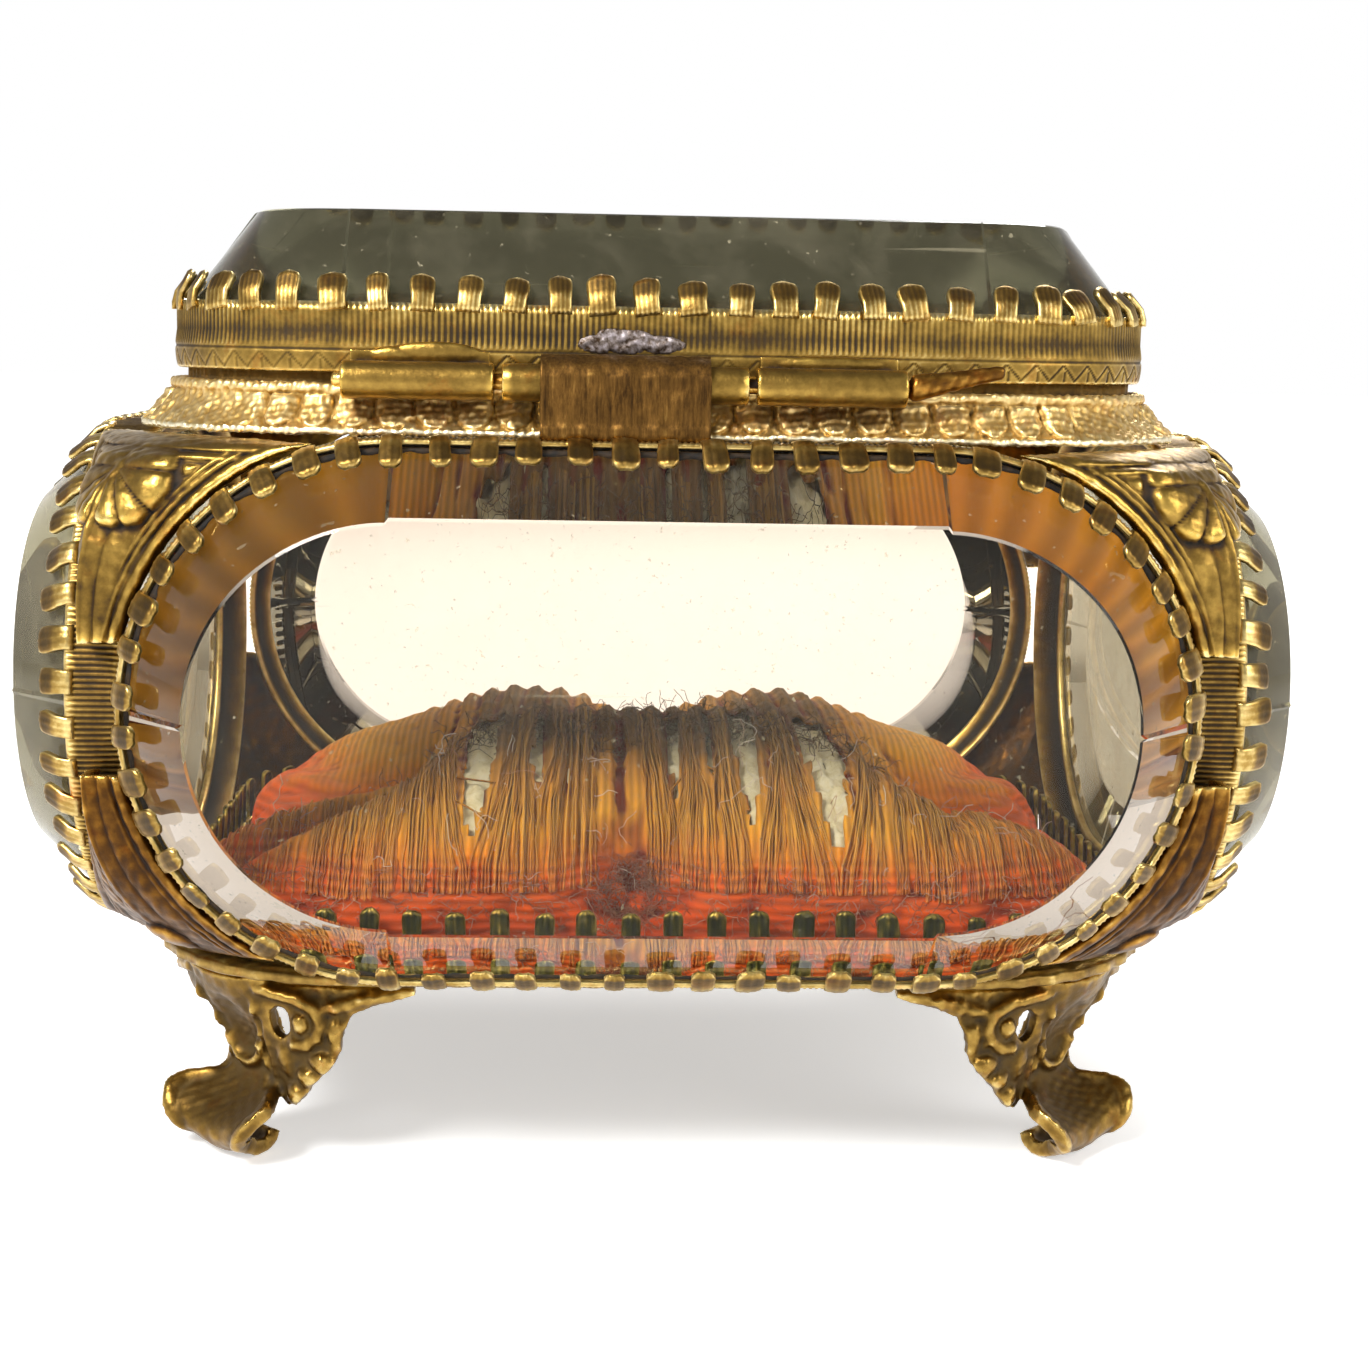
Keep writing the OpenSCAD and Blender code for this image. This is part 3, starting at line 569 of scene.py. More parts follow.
# %% One tooth
def tooth_part(slope, length, width, thick=0.42, blunt=0.25, rib=0.05, grooves=3):
    """A bent tongue. x points out of the pane's edge, y along it, z up. Its end is
    turned up to a thin lip, where the cutter dragged the sheet."""
    bend = 0.55
    root = 0.7
    steps = 9
    whole = root + bend * slope + length
    run = np.concatenate([np.linspace(0, whole - 0.45 * width, steps - 4),
                          whole - 0.45 * width * np.cos(np.linspace(0.5, math.pi / 2, 4))])
    side, up, way = [], [], []
    lean = math.pi / 2 - slope
    for s in run:
        if s < root:
            side.append(0.0)
            up.append(s - root)
            way.append(math.pi / 2)
        elif s < root + bend * (math.pi / 2 - lean):
            t = (s - root) / bend
            side.append(-bend * (1 - math.cos(t)))
            up.append(bend * math.sin(t))
            way.append(math.pi / 2 + t)
        else:
            t = math.pi / 2 - lean
            rest = s - root - bend * t
            way.append(math.pi / 2 + t)
            side.append(-bend * (1 - math.cos(t)) + rest * math.cos(math.pi / 2 + t))
            up.append(bend * math.sin(t) + rest * math.sin(math.pi / 2 + t))
    line = np.stack([side, up], -1)
    normal = np.stack([np.sin(way), -np.cos(way)], -1)
    across = np.linspace(-1, 1, 11)
    tip = np.clip((run - (run[-1] - width * 0.42)) / (width * 0.42), 0, 1)
    half = width / 2 * np.sqrt(1 - blunt * tip ** 2.2) * (1 - 0.12 * np.exp(-(
        (run - root) / 0.8) ** 2))
    ribs = rib * np.cos(grooves * math.pi * across) * (1 - across ** 4)
    bow = 0.12 * (1 - across ** 2) + 0.06 * np.exp(-((whole - run - 0.2) / 0.16) ** 2)[:, None]
    faces_at = []
    for lift in (1, 0):
        rise = lift * (thick * (1 - 0.3 * tip[:, None] ** 4) - 0.1) + (ribs + bow) * (
            1 if lift else 0.5)
        place = line[:, None] + normal[:, None] * rise[..., None]
        y = half[:, None] * across
        faces_at.append(np.stack([place[..., 0], y, place[..., 1]], -1))
    top, under = faces_at
    shell = np.concatenate([top, under[:, ::-1]], 1)
    vertices, faces = grid(shell, wrap_cols=True)
    n = shell.shape[1]
    for row in (0, steps - 1):
        first = row * n
        for k in range(n // 2 - 1):
            quad = (first + k, first + k + 1, first + n - 2 - k, first + n - 1 - k)
            faces.append(quad if row else quad[::-1])
    return vertices, faces


# %% [markdown]
# The tree's inputs are the tooth to copy, how far teeth may lean and a seed. It ends in
# Realize Instances, so that the row becomes plain geometry, and Set Material.

# %% The tree that stands teeth in a row
def row_tree():
    """Geometry Nodes tree: copies of one part on points that carry turn and size."""
    tree = bpy.data.node_groups.new("row_of_parts", "GeometryNodeTree")
    face = tree.interface
    face.new_socket("Geometry", in_out="OUTPUT", socket_type="NodeSocketGeometry")
    for label, kind in (("Points", "Geometry"), ("Part", "Object"), ("Lean", "Float"),
                        ("Seed", "Int"), ("Finish", "Material")):
        face.new_socket(label, in_out="INPUT", socket_type="NodeSocket" + kind)
    given = add(tree, "NodeGroupInput").outputs
    part = add(tree, "GeometryNodeObjectInfo", {"Object": given["Part"]})
    turn = add(tree, "GeometryNodeInputNamedAttribute", {"Name": "turn"},
               data_type="FLOAT_VECTOR")
    size = add(tree, "GeometryNodeInputNamedAttribute", {"Name": "size"},
               data_type="FLOAT_VECTOR")
    copies = add(tree, "GeometryNodeInstanceOnPoints", {
        "Points": given["Points"], "Instance": part.outputs["Geometry"],
        "Rotation": turn.outputs[0], "Scale": size.outputs[0]})
    chance = add(tree, "FunctionNodeRandomValue", {
        0: (-1, -0.6, -1), 1: (1, 0.6, 1), "Seed": given["Seed"]}, data_type="FLOAT_VECTOR")
    lean = add(tree, "ShaderNodeVectorMath", {0: chance.outputs[0], "Scale": given["Lean"]},
               operation="SCALE")
    leaning = add(tree, "GeometryNodeRotateInstances", {
        "Instances": copies.outputs[0], "Rotation": lean.outputs[0]})
    real = add(tree, "GeometryNodeRealizeInstances", {"Geometry": leaning.outputs[0]})
    done = add(tree, "GeometryNodeSetMaterial", {
        "Geometry": real.outputs[0], "Material": given["Finish"]})
    add(tree, "NodeGroupOutput", {0: done.outputs[0]})
    return tree


ROW_TREE = row_tree()


def row_of(name, part, places, turns, sizes, lean, seed, material):
    """Runs the tree on a row of points and gives a plain mesh object."""
    mesh = bpy.data.meshes.new(name)
    mesh.from_pydata((np.asarray(places) * MM).tolist(), [], [])
    for label, values in (("turn", turns), ("size", sizes)):
        layer = mesh.attributes.new(label, "FLOAT_VECTOR", "POINT")
        layer.data.foreach_set("vector", np.asarray(values, np.float32).ravel())
    obj = bpy.data.objects.new(name, mesh)
    scene.collection.objects.link(obj)
    model = make_mesh(name + "_model", *part, material)
    add_relief(model, 0.35, 0.15)
    modifier = obj.modifiers.new("row", "NODES")
    modifier.node_group = ROW_TREE
    sockets = {i.name: i.identifier for i in ROW_TREE.interface.items_tree}
    for label, value in (("Part", model), ("Lean", lean), ("Seed", seed),
                         ("Finish", material)):
        modifier[sockets[label]] = value
    evaluated(obj)
    bpy.data.objects.remove(model)
    for label in ("turn", "size"):
        if label in obj.data.attributes:
            obj.data.attributes.remove(obj.data.attributes[label])
    return obj


def frames_to_euler(x_axes, y_axes, z_axes):
    """Euler angles that turn the part's x, y and z to the given directions."""
    turns = []
    for x, y, z in zip(x_axes, y_axes, z_axes):
        turns.append(tuple(Matrix(np.array([x, y, z]).T.tolist()).to_euler()))
    return turns


# %% [markdown]
# **Gallery strips.** A strip is one stamped brass band: a wall round the pane, a ledge
# behind it and the teeth in front. The wall is swept as a closed profile. Its outside is
# ribbed across, which shows where two strips meet at a corner, and its front edge
# rises in a small bump between the teeth.

# %% Strip profile and teeth of the four windows
tooth_pitch = 3.36
tooth_w = 1.85
tooth_len = 2.3
rib_pitch = 0.45


def strip_band(path, r, front, back, seat, pitch_count, ribs=0.05):
    """A wall with a ledge. front, back and seat are heights in the window's frame."""
    wall = r - strip_t
    ledge_in, ledge_t = 1.3, 0.6
    way = path["way"][:, None]
    rib = ribs * np.cos(2 * math.pi * way / (path["length"] / round(
        path["length"] / rib_pitch)))
    bump = 0.2 * np.maximum(0, -np.cos(2 * math.pi * way * pitch_count / path["length"])) ** 2
    torn = wobble(path["centre"] * 3 + path["out"] * r, 1.1, 17)[:, None]
    bump = bump * (0.6 + 0.7 * torn)
    one = np.ones_like(way)
    outside = np.linspace(back + 0.25, front - 0.3, 7)
    radius = np.hstack([one * (r - 0.15), r + rib * np.ones(7), one * (r - 0.12),
                        one * (r - 0.25), one * (wall + 0.1), one * wall, one * wall,
                        one * (wall - ledge_in + 0.1), one * (wall - ledge_in),
                        one * (wall - ledge_in + 0.1), one * wall, one * wall])
    height = np.hstack([one * back, one * outside, one * (front - 0.08) + bump,
                        one * front + bump, one * front + bump, one * (front - 0.15),
                        one * (seat + 0.05), one * seat, one * (seat - ledge_t / 2),
                        one * (seat - ledge_t), one * (seat - ledge_t), one * back])
    return sweep(path, radius, height)


def tooth_row(a, b, r, front, slope, length, seed, spin=0.0):
    """Places, axes and sizes of teeth round a window."""
    path_r = r + strip_r - pane_r - strip_t / 2
    whole = 4 * (a + b) + 2 * math.pi * path_r
    count = round(whole / tooth_pitch)
    random = np.random.default_rng(seed)
    way = (np.arange(count) + 0.5 + random.uniform(-0.06, 0.06, count)) * whole / count
    centre, turn = at_way(a, b, path_r, way + spin)
    out = np.stack([np.cos(turn), np.sin(turn)], -1)
    places = np.column_stack([centre + out * path_r, np.full(count, front - 0.05)])
    along = np.column_stack([-np.sin(turn), np.cos(turn), np.zeros(count)])
    outward = np.column_stack([out, np.zeros(count)])
    sizes = np.column_stack([random.uniform(0.9, 1.08, count),
                             random.uniform(0.85, 1.18, count),
                             random.uniform(0.92, 1.06, count)])
    return places, outward, along, sizes


def gallery(side, seed):
    """One window's strip, its teeth and a dark ring of painted shade round the pane's edge."""
    a = STRAIGHT[side]
    path = track(a, 0, strip_r, 0.11)
    slope = math.atan2(bevel_rise, bevel_w)
    whole = 4 * a + 2 * math.pi * (strip_r - strip_t / 2)
    count = round(whole / tooth_pitch)
    band = strip_band(path, strip_r, 0.0, -strip_depth, -rim_sink - rim_t - 0.05, count)
    vertices, faces = grid(on_side(side, band), wrap_rows=True, wrap_cols=True)
    wall = add_relief(make_mesh(f"{side}_strip_wall", vertices, faces, strip_brass), 0.4, 0.06)
    places, outward, along, sizes = tooth_row(a, 0, pane_r, 0.0, slope, tooth_len, seed)
    zero = np.zeros(3)
    up = on_side(side, np.array([0, 0, 1.0])) - on_side(side, zero)
    turned = [on_side(side, v) - on_side(side, zero) for v in (outward, along)]
    turns = frames_to_euler(turned[0], turned[1], np.tile(up, (len(places), 1)))
    part = tooth_part(math.pi / 2 - slope, tooth_len, tooth_w, 0.5, 0.8, 0.022, 3)
    teeth = row_of(f"{side}_teeth", part, on_side(side, places), turns, sizes, 0.09,
                   seed, strip_brass)
    # A dark ring on the bevel's edge inside the strip's wall: painted shade for the gap between
    # strip and glass, its width wobbling.
    path = track(a, 0, pane_r, 0.4)
    dirt_and_shade = 0.12 * wobble(path["centre"] + path["out"] * pane_r, 2.2, seed)[:, None]
    in_by = np.array([0.02, 0.42, 0.36, 0.02]) + dirt_and_shade * [0, 1, 1, 0]
    rise = in_by * bevel_rise / bevel_w - rim_sink + np.array([0.14, 0.04, -0.1, -0.12])
    ring = sweep(path, pane_r - in_by, rise)
    vertices, faces = grid(on_side(side, ring), wrap_rows=True, wrap_cols=True)
    return wall, teeth, make_mesh(f"{side}_rim_grime", vertices, faces, painted_shade)


def merge(name, *objects):
    """Several mesh objects as one, keeping their attributes."""
    bpy.ops.object.select_all(action="DESELECT")
    for obj in objects:
        obj.select_set(True)
    bpy.context.view_layer.objects.active = objects[0]
    bpy.ops.object.join()
    objects[0].name = name
    objects[0].data.name = name
    return objects[0]


for i, side in enumerate(SIDES):
    strip = merge(f"{side}_strip", *gallery(side, 21 + i))
    finish_piece(strip, "casket", "gilt_brass", f"{side}_gallery")

# %% [markdown]
# **Lid strip.** The lid's strip is wider than the walls' ones. Its sheet was rolled
# between pattern wheels before it was bent: upright reeds above, then a thin line, then
# a worn row of chevrons. All of it is a change of radius with the distance travelled
# round the lid, so the sweep's radius takes it straight.

# %% Lid strip
lid_top = lid_glass_low[2] + lid_rim + rim_sink
lid_foot = lid_low[2]
reed_pitch = 0.46
chevron_pitch = 2.35
lid_tooth_len = 2.0
lid_tooth_w = 2.0


def lid_band():
    """The swept wall of the lid's strip with its rolled pattern."""
    path = track(*corner, lid_r, 0.115)
    way = path["way"][:, None]
    z = np.concatenate([np.linspace(lid_foot + 0.1, lid_foot + 2.0, 13),
                        np.linspace(lid_foot + 2.3, lid_top - 0.1, 5)])[None, :]
    up = z - lid_foot
    reeds = round(path["length"] / reed_pitch)
    reed = np.cos(2 * math.pi * way * reeds / path["length"] + 0.25 * np.sin(way / 9))
    rubbed = np.clip(0.75 + 0.5 * wobble(path["centre"] + path["out"] * 9, 14, 6), 0.25, 1)
    reed = 0.06 * reed * rubbed[:, None] * np.clip((up - 1.85) / 0.25, 0, 1)
    bulge = 0.22 * np.sin(np.clip(up / 2.6, 0, 1) * math.pi) ** 0.7
    line = -0.09 * np.exp(-((up - 1.72) / 0.09) ** 2)
    count = round(path["length"] / chevron_pitch)
    phase = np.mod(way * count / path["length"], 1)
    leg = np.abs(np.abs(phase - 0.5) * 2 - (up - 0.25) / 1.2)
    key = np.abs(phase - 0.08) * chevron_pitch
    cut = np.minimum(leg * chevron_pitch / 2, np.where(up < 0.9, key, 9))
    worn = np.clip(0.55 + 0.5 * wobble(path["centre"] + path["out"] * 9, 31, 5), 0.1, 1)
    chevron = -0.11 * np.exp(-(cut / 0.13) ** 2) * worn[:, None]
    chevron = chevron * (up > 0.25) * (up < 1.5)
    radius = lid_r + bulge + reed + line + chevron
    teeth = round((4 * corner.sum() + 2 * math.pi * (lid_r - 0.25)) / tooth_pitch)
    crest = 0.22 * np.maximum(0, -np.cos(2 * math.pi * way * teeth / path["length"])) ** 3
    crest = crest + 0.8 * reed[:, -1:]
    one = np.ones_like(way)
    wall = lid_r - strip_t
    seat = lid_glass_low[2] - 0.05
    radius = np.hstack([one * (lid_r - 0.05), radius, one * (lid_r - 0.12), one * wall,
                        one * wall, one * (wall - 1.3), one * (wall - 1.3), one * wall,
                        one * (wall + 0.05)])
    height = np.hstack([one * lid_foot, one * z, lid_top + crest - 0.2,
                        lid_top + crest - 0.25, one * seat, one * seat,
                        one * (seat - 0.6), one * (seat - 0.6), one * lid_foot])
    return grid(sweep(path, radius, height), wrap_rows=True, wrap_cols=True)


lid_wall = make_mesh("lid_strip_wall", *lid_band(), band_brass)
add_relief(lid_wall, 0.45, 0.07)
lid_slope = math.atan2(lid_rise, lid_bevel_w)
places, outward, along, sizes = tooth_row(*corner, lid_pane_r, lid_top, lid_slope,
                                          lid_tooth_len, 41)
up_axes = np.tile([0, 0, 1.0], (len(places), 1))
sizes[:, 0] *= 1.02
lid_teeth = row_of("lid_teeth", tooth_part(math.pi / 2 - lid_slope, lid_tooth_len,
                                           lid_tooth_w, 0.55, 0.9, 0.04, 5),
                   places, frames_to_euler(outward, along, up_axes), sizes, 0.2, 7,
                   strip_brass)
lid_strip = merge("lid_strip", lid_wall, lid_teeth)
finish_piece(lid_strip, "lid", "gilt_brass", "lid_gallery")

# %% [markdown]
# **Collar.** The mouth of the casket is framed by a cast moulding: a plain roll at the
# top, and a hollow below it that is filled with rounded lobes on a grained ground. All
# of it was cast in one, so it is one sweep whose radius carries the ornament as a
# height. The lobes fade out round the middle of each corner, where the pattern's maker
# left the hollow plain.

# %% Collar moulding
collar_foot = ring_low[2] + 1 + 2 * strip_r
collar_top = collar_foot + 3.75
collar_top_r = lid_r + 0.6
collar_foot_r = collar_high[0] - corner[0]
lip_r = lid_r - strip_t - 0.3
lobe_pitch = 3.0


def dome(x):
    """A half-round ridge of half width 1."""
    return np.sqrt(np.maximum(0, 1 - x ** 2))


def collar_ornament(path, where, down):
    """Height of the cast lobes over the hollow, for points down millimetres below the roll."""
    pitch = path["length"] / round(path["length"] / lobe_pitch)
    along = (np.mod(path["way"][:, None] / pitch, 1) - 0.5) * pitch
    far = np.hypot(along / 1.42, (down - 0.75) / 1.5)
    lobes = 0.62 * dome(far) ** 0.8 - 0.16 * np.exp(-((far - 1.06) / 0.09) ** 2)
    grain = 0.13 * wobble(where, 0.75, 12, 11) * np.clip((far - 0.8) / 0.4, 0.25, 1)
    off_corner = np.abs(np.mod(path["turn"], math.pi / 2) - math.pi / 4)
    plain = np.clip((off_corner - math.radians(12)) / math.radians(13), 0, 1)[:, None]
    return (lobes + grain) * plain + 0.05 * wobble(where, 1.6, 13)


def collar_body():
    """The moulding's sweep, closed round its inside and its lip."""
    path = track(*corner, collar_foot_r, 0.16)
    flare = collar_foot_r - collar_top_r
    roll = [(collar_top_r - 0.42 + 0.45 * math.cos(t), collar_top - 0.45 + 0.45 * math.sin(t))
            for t in np.linspace(1.9, -0.9, 9)]
    down = np.linspace(0, 2.3, 23)
    hollow = [(collar_top_r - 0.1 + 0.96 * flare * (d / 2.3) ** 1.6, collar_top - 0.95 - d)
              for d in down]
    foot = [(collar_foot_r + 0.02, collar_foot + 0.42), (collar_foot_r, collar_foot + 0.08),
            (collar_foot_r - 0.1, collar_foot), (collar_foot_r - 1.0, collar_foot)]
    inside = [(collar_top_r + 0.4 * flare - 0.9, collar_foot + 1.0),
              (collar_top_r - 0.8, collar_top - 1.4), (lip_r - 0.7, collar_top - 0.8),
              (lip_r - 0.7, collar_top + 1.7), (lip_r - 0.35, collar_top + 1.8),
              (lip_r, collar_top + 1.7), (lip_r, collar_top - 0.02),
              (collar_top_r - 0.6, collar_top - 0.02)]
    profile = np.array(roll + hollow + foot + inside)
    radius = np.tile(profile[:, 0], (len(path["way"]), 1))
    where = sweep(path, radius, profile[:, 1])
    radius[:, 9:32] += collar_ornament(path, where[:, 9:32], down)
    radius[:, :32] += 0.06 * wobble(where[:, :32], 4.5, 8)
    return grid(sweep(path, radius, profile[:, 1]), wrap_rows=True, wrap_cols=True)


def shell(outer, inner):
    """Closes two open grids of the same size into one skin."""
    rows, cols = outer.shape[:2]
    vertices, faces = joined([grid(outer), grid(inner)])
    index = np.arange(rows * cols).reshape(rows, cols)
    rim = np.concatenate([index[0, :-1], index[:-1, -1], index[-1, :0:-1], index[:0:-1, 0]])
    half = rows * cols
    for a, b in zip(rim, np.roll(rim, -1)):
        faces.append((int(a), int(b), int(b) + half, int(a) + half))
    return vertices, faces


def dent(obj, depth, size_mm, seed):
    """Moves every point a little along its normal, as handling and casting do."""
    mesh = obj.data
    place = np.empty(len(mesh.vertices) * 3)
    mesh.vertices.foreach_get("co", place)
    normal = np.empty(len(mesh.vertices) * 3)
    mesh.vertices.foreach_get("normal", normal)
    place = place.reshape(-1, 3)
    place += normal.reshape(-1, 3) * (depth * MM * wobble(place / MM, size_mm, seed))[:, None]
    mesh.vertices.foreach_set("co", place.ravel())
    mesh.update()
    return obj


collar = make_mesh("collar_moulding", *collar_body(), pale_brass)
add_relief(dent(collar, 0.07, 0.9, 53), 0.8, 0.3)
finish_piece(collar, "casket", "gilt_brass", "collar")

# %% [markdown]
# **Corner spandrels.** Stamped shells fill the corners between the round windows. Each
# one is a bowed patch: its two long edges follow the arcs of the strips beside it, and
# its middle line is the corner's ridge. The stamping is drawn as a height over the
# patch, from three things measured on it: the distance from the arc, the distance
# from the collar, and the angle round the point where the fan of petals springs.

# %% Spandrel patch
ridge_out = 2.7
shoulder_out = 0.4
shoulder_share = 0.93
end_in = end_face - strip_depth
long_in = long_face - strip_depth
waist = np.array([end_in + ridge_out, long_in + ridge_out])
ARC = {"top": (73, 14), "low": (-64, -14)}
SWELL = {"top": 1.1, "low": 0.7}
arc_gap = 0.35
ring_out_r = ring_high[0] - corner[0]


def bow(a, b, c, t):
    """Quadratic curve from a, towards b, to c."""
    return (1 - t) ** 2 * a + 2 * t * (1 - t) * b + t ** 2 * c


def ridge_line(kind, v):
    """The corner's middle line, from the collar or the base down to the waist."""
    up = kind == "top"
    r, z = (collar_foot_r + 0.25, collar_foot - 0.35) if up else (
        ring_out_r - 0.3, ring_high[2] + 0.4)
    head = np.array([*(corner + r / math.sqrt(2)), z])
    bend = np.array([*(waist + shoulder_out), pane_z + shoulder_share * strip_r]) if up \
        else np.array([*waist, pane_z - 0.72 * strip_r])
    foot = np.array([*waist, pane_z + strip_r * math.sin(math.radians(ARC[kind][1]))])
    return bow(head, bend, foot, v)


def patch(kind, rows, cols, inset):
    """Points of the patch, its flat outward directions, u across, v along and s, the share from edge
    to ridge.
    """
    v = np.linspace(0, 1, rows)[:, None]
    u = np.linspace(0, 1, cols)[None, :]
    start, stop = ARC[kind]
    angle = np.radians(start + (stop - start) * v)
    reach = strip_r + arc_gap
    sink = 0.4 + 1.6 * v
    height = pane_z + reach * np.sin(angle)
    p = np.stack([STRAIGHT["back"] + reach * np.cos(angle), long_face - sink, height], -1)
    q = np.stack([end_face - sink, STRAIGHT["right"] + reach * np.cos(angle), height], -1)
    k = ridge_line(kind, v[..., None])
    s = np.where(u < 0.5, 2 * u, 2 - 2 * u)[..., None]
    edge = np.where((u < 0.5)[..., None], p, q)
    out = np.stack([np.sin(u * math.pi / 2), np.cos(u * math.pi / 2),
                    0.25 + 0 * u], -1)
    swell = SWELL[kind] * (1 - 0.8 * v)
    if kind == "top":
        swell = swell * (0.3 + 0.7 * np.clip(v / 0.22, 0, 1))
    swell = swell[..., None]
    points = edge + (k - edge) * s + swell * np.sin(math.pi * s) * out
    flat_out = out * [1, 1, 0]
    under = 0.8 * np.sin(u * math.pi) * (1 - v) ** 2 if kind == "top" else 0 * u * v
    inward = np.stack([flat_out[..., 0] + 0 * v, flat_out[..., 1] + 0 * v, under], -1)
    return points - inset * inward, flat_out, u + 0 * v, v + 0 * u, s[..., 0] + 0 * v


FAN_GROOVES = (-34, 2, 44, 76, 104)


def fan(away, drop):
    """Petals that spring from the ridge, parted by V grooves at the angles given."""
    rho = np.hypot(away, drop)
    theta = np.degrees(np.arctan2(drop, np.maximum(away, 1e-6)))
    theta = np.where(away < 0, 90 + np.degrees(np.arctan2(-away, np.maximum(drop, 1e-6))), theta)
    height = np.zeros_like(rho)
    for k, (a, b) in enumerate(zip(FAN_GROOVES[:-1], FAN_GROOVES[1:])):
        c = 2 * (theta - a) / (b - a) - 1
        end = 4.7 - 0.25 * k + 0.5 * dome(c)
        rise = np.clip(rho / 3.3, 0, 1) ** 0.6 * dome(np.clip((rho - 3.6) / (end - 3.6), 0, 1))
        petal = (0.35 + 0.65 * dome(np.clip(c, -1, 1)) ** 0.6) * rise
        height = np.where(np.abs(c) < 1, 0.9 * petal, height)
    return np.where(drop < -3.5, 0, height), rho


def stamped(kind, points, u, v, s):
    """Height of the stamping at each point of a patch, in millimetres."""
    level = points[..., 2] - pane_z
    side_x = np.where(u < 0.5, points[..., 0] - STRAIGHT["back"],
                      points[..., 1] - STRAIGHT["right"])
    e = np.hypot(side_x, level) - strip_r - arc_gap
    height = np.maximum(0.6 * dome((e - 0.55) / 0.55), 0.3 * dome((e - 1.45) / 0.26))
    height = np.maximum(height, 0.24 * dome((e - 1.95) / 0.2))
    ribs = 0.3 * dome(2 * np.mod(2.6 * s + 0.2, 1) - 1)
    if kind == "top":
        top = points[:1, :, 2] - points[..., 2]
        rolls = np.maximum(0.5 * dome((top - 0.45) / 0.5), 0.26 * dome((top - 1.3) / 0.24))
        height = np.maximum(height, rolls)
        apex = ridge_line("top", 0.34)
        away = np.where(u < 0.5, apex[0] - points[..., 0], apex[1] - points[..., 1])
        petals, rho = fan(away + 0.3, apex[2] - points[..., 2])
        inside = np.clip((e - 2.1) / 0.4, 0, 1) * np.clip((top - 1.5) / 0.3, 0, 1)
        height = np.maximum(height, petals * np.clip((e - 1.2) / 1.2, 0, 1)
                            * np.clip((top - 0.6) / 0.8, 0, 1))
        height = np.maximum(height, 0.24 * dome((np.mod(top, 0.9) - 0.45) / 0.4)
                            * inside * (away > 5.2) * (level > 0.72 * strip_r))
        height = np.maximum(height, ribs * np.clip((v - 0.58) / 0.1, 0, 1))
    else:
        height = np.maximum(height, ribs * np.clip((v - 0.2) / 0.1, 0, 1))
        bulb = ridge_line("low", 0.14)
        far = np.linalg.norm(points - bulb, axis=-1)
        height = np.maximum(height, 1.1 * dome(far / 2.2))
        bars = 0.35 * dome(2 * np.mod((level + 1.1 * side_x) / 2.4, 1) - 1)
        height = np.maximum(height, bars * (u > 0.62) * np.clip(e / 0.4, 0, 1) * (v > 0.3))
    height = np.maximum(height, 0.4 * dome((1 - s) / 0.1) * np.clip((v - 0.05) / 0.2, 0, 1))
    rim = np.clip(np.minimum(u, 1 - u) * 40, 0, 1) * np.clip(v * 30, 0, 1)
    return height * rim


def spandrel(name, kind, sx, sy, material, node):
    """One stamped corner, mirrored to the corner of signs sx and sy."""
    rows, cols = (104, 124) if kind == "top" else (76, 92)
    points, out, u, v, s = patch(kind, rows, cols, 0.0)
    outer = points + out * (stamped(kind, points, u, v, s) - 0.3)[..., None]
    inner = patch(kind, rows, cols, 0.62)[0]
    outer, inner = outer * [sx, sy, 1], inner * [sx, sy, 1]
    piece = make_mesh(name, *shell(outer, inner), material)
    add_relief(dent(piece, 0.03, 1.3, 61 + rows), 1.0, 0.26)
    return finish_piece(piece, "casket", "gilt_brass" if kind == "top" else
                        "dark_gilt_brass", node)


CORNERS = {"front_left": (-1, -1), "front_right": (1, -1),
           "back_left": (-1, 1), "back_right": (1, 1)}
for place, (sx, sy) in CORNERS.items():
    spandrel(f"top_corner_{place}", "top", sx, sy, gilt_brass, f"top_spandrel_{place}")
    spandrel(f"low_corner_{place}", "low", sx, sy, dark_brass, f"low_spandrel_{place}")

# %% [markdown]
# **Feet.** Each foot was cast in one: a leg that runs down the corner, kicks out and
# rolls under itself, and two pierced wings with a scroll. Sculpture like this has no
# profile to sweep. The pieces are drawn roughly as closed shells that run into each
# other, a voxel remesh welds them into one skin, and a little smoothing gives it the
# soft edges of a casting.

# %% The wing's drawing
foot_top = ring_low[2]
foot_r = 14.9


def to_lines(points, line):
    """Distance of points to a line of (x, y) stations."""
    best = np.full(points.shape[:-1], 99.0)
    line = np.asarray(line, float)
    for a, b in zip(line[:-1], line[1:]):
        along = b - a
        t = np.clip(((points - a) @ along) / (along @ along), 0, 1)
        best = np.minimum(best, np.linalg.norm(points - a - t[..., None] * along, axis=-1))
    return best


WING_EDGE = [(-5.6, 0.3), (-5.4, -0.5), (-4.2, -0.9), (-2.1, -1.5), (-0.5, -2.2),
             (0.1, -3.6), (0.4, -5.4), (1.4, -7.0), (2.7, -8.2), (3.8, -9.5), (4.9, -10.5),
             (6.2, -10.7), (7.5, -9.8), (8.0, -8), (7.8, -4), (7.6, 0.3)]
LOW_WING_EDGE = [(-5.4, 0.3), (-5.2, -0.4), (-2.5, -0.9), (0, -1.3), (3, -1.9),
                 (5.5, -2.6), (7.6, -3.6), (7.6, 0.3)]
window = (5.7, -3.2)


def inside_outline(points, outline):
    """True where points lie inside a closed outline."""
    x, y = points[..., 0], points[..., 1]
    inside = np.zeros(x.shape, bool)
    for (x0, y0), (x1, y1) in zip(outline, outline[1:] + outline[:1]):
        crosses = (y0 > y) != (y1 > y)
        at = x0 + (y - y0) / (y1 - y0 + 1e-12) * (x1 - x0)
        inside ^= crosses & (x < at)
    return inside


